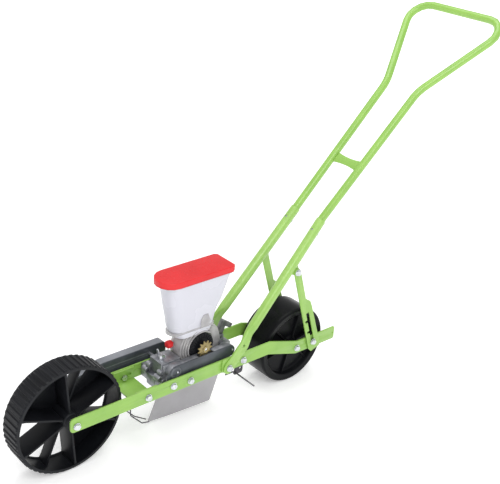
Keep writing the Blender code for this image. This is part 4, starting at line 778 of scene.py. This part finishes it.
bpy.ops.object.select_all(action="DESELECT")
bpy.ops.mesh.primitive_plane_add(size=30, location=(0, 0, -0.0005))
floor = bpy.context.object
floor.name = "floor"
floor_paint = bpy.data.materials.new("floor_paint")
floor_paint.use_nodes = True
floor_nodes, floor_links = floor_paint.node_tree.nodes, floor_paint.node_tree.links
floor_shader = floor_nodes["Principled BSDF"]
floor_shader.inputs["Base Color"].default_value = (0.93, 0.93, 0.93, 1)
floor_shader.inputs["Roughness"].default_value = 0.9
floor_shader.inputs["Emission Color"].default_value = (1, 1, 1, 1)
floor_place = floor_nodes.new("ShaderNodeTexCoord")
floor_reach = floor_nodes.new("ShaderNodeVectorMath")
floor_reach.operation = "LENGTH"
floor_glow = floor_nodes.new("ShaderNodeMapRange")
floor_glow.inputs["From Min"].default_value = 0.8
floor_glow.inputs["From Max"].default_value = 3.0
floor_glow.inputs["To Min"].default_value = 0.3
floor_glow.inputs["To Max"].default_value = 1.0
floor_links.new(floor_place.outputs["Object"], floor_reach.inputs[0])
floor_links.new(floor_reach.outputs["Value"], floor_glow.inputs["Value"])
floor_links.new(floor_glow.outputs["Result"], floor_shader.inputs["Emission Strength"])
floor.data.materials.append(floor_paint)

world = bpy.data.worlds.new("studio")
bpy.context.scene.world = world
world.use_nodes = True
sky_nodes, sky_links = world.node_tree.nodes, world.node_tree.links
sky_nodes["Background"].inputs["Color"].default_value = (1, 1, 1, 1)
seen = sky_nodes.new("ShaderNodeLightPath")
sky_light = sky_nodes.new("ShaderNodeMapRange")
sky_light.inputs["To Min"].default_value = 0.63
sky_light.inputs["To Max"].default_value = 1.0
sky_links.new(seen.outputs["Is Camera Ray"], sky_light.inputs["Value"])
sky_links.new(sky_light.outputs["Result"], sky_nodes["Background"].inputs["Strength"])


def lamp(name, place, aim, size, power):
    """A square area lamp at a place, turned toward a point."""
    data = bpy.data.lights.new(name, "AREA")
    data.shape = "SQUARE"
    data.size = size
    data.energy = power
    piece = bpy.data.objects.new(name, data)
    piece.location = place
    piece.rotation_euler = (Vector(aim) - Vector(place)).to_track_quat("-Z", "Y").to_euler()
    bpy.context.scene.collection.objects.link(piece)


lamp("key", (2.2, -1.2, 2.8), (0, 0, 0.3), 1.6, 46)
lamp("top", (-0.6, 0.4, 3.4), (0, 0, 0.3), 2.2, 45)

CAMERA_TURN = 0.82936
CAMERA_RISE = 0.44105
CAMERA_ROLL = 0.07705
into = Vector((
    -sin(CAMERA_TURN) * cos(CAMERA_RISE),
    cos(CAMERA_TURN) * cos(CAMERA_RISE),
    -sin(CAMERA_RISE),
))
level = into.cross(Vector((0, 0, 1))).normalized()
upright = level.cross(into)
right = level * cos(CAMERA_ROLL) + upright * sin(CAMERA_ROLL)
up = upright * cos(CAMERA_ROLL) - level * sin(CAMERA_ROLL)
lens = bpy.data.cameras.new("camera")
lens.sensor_width = 36
lens.lens = 67.203
camera = bpy.data.objects.new("camera", lens)
turn = Matrix((right, up, -into)).transposed().to_4x4()
camera.matrix_world = Matrix.Translation((1.464479, WHEEL_CENTRE.y - 0.838364, 1.349941)) @ turn
bpy.context.scene.collection.objects.link(camera)
bpy.context.scene.camera = camera
bpy.context.scene.view_settings.view_transform = "Standard"
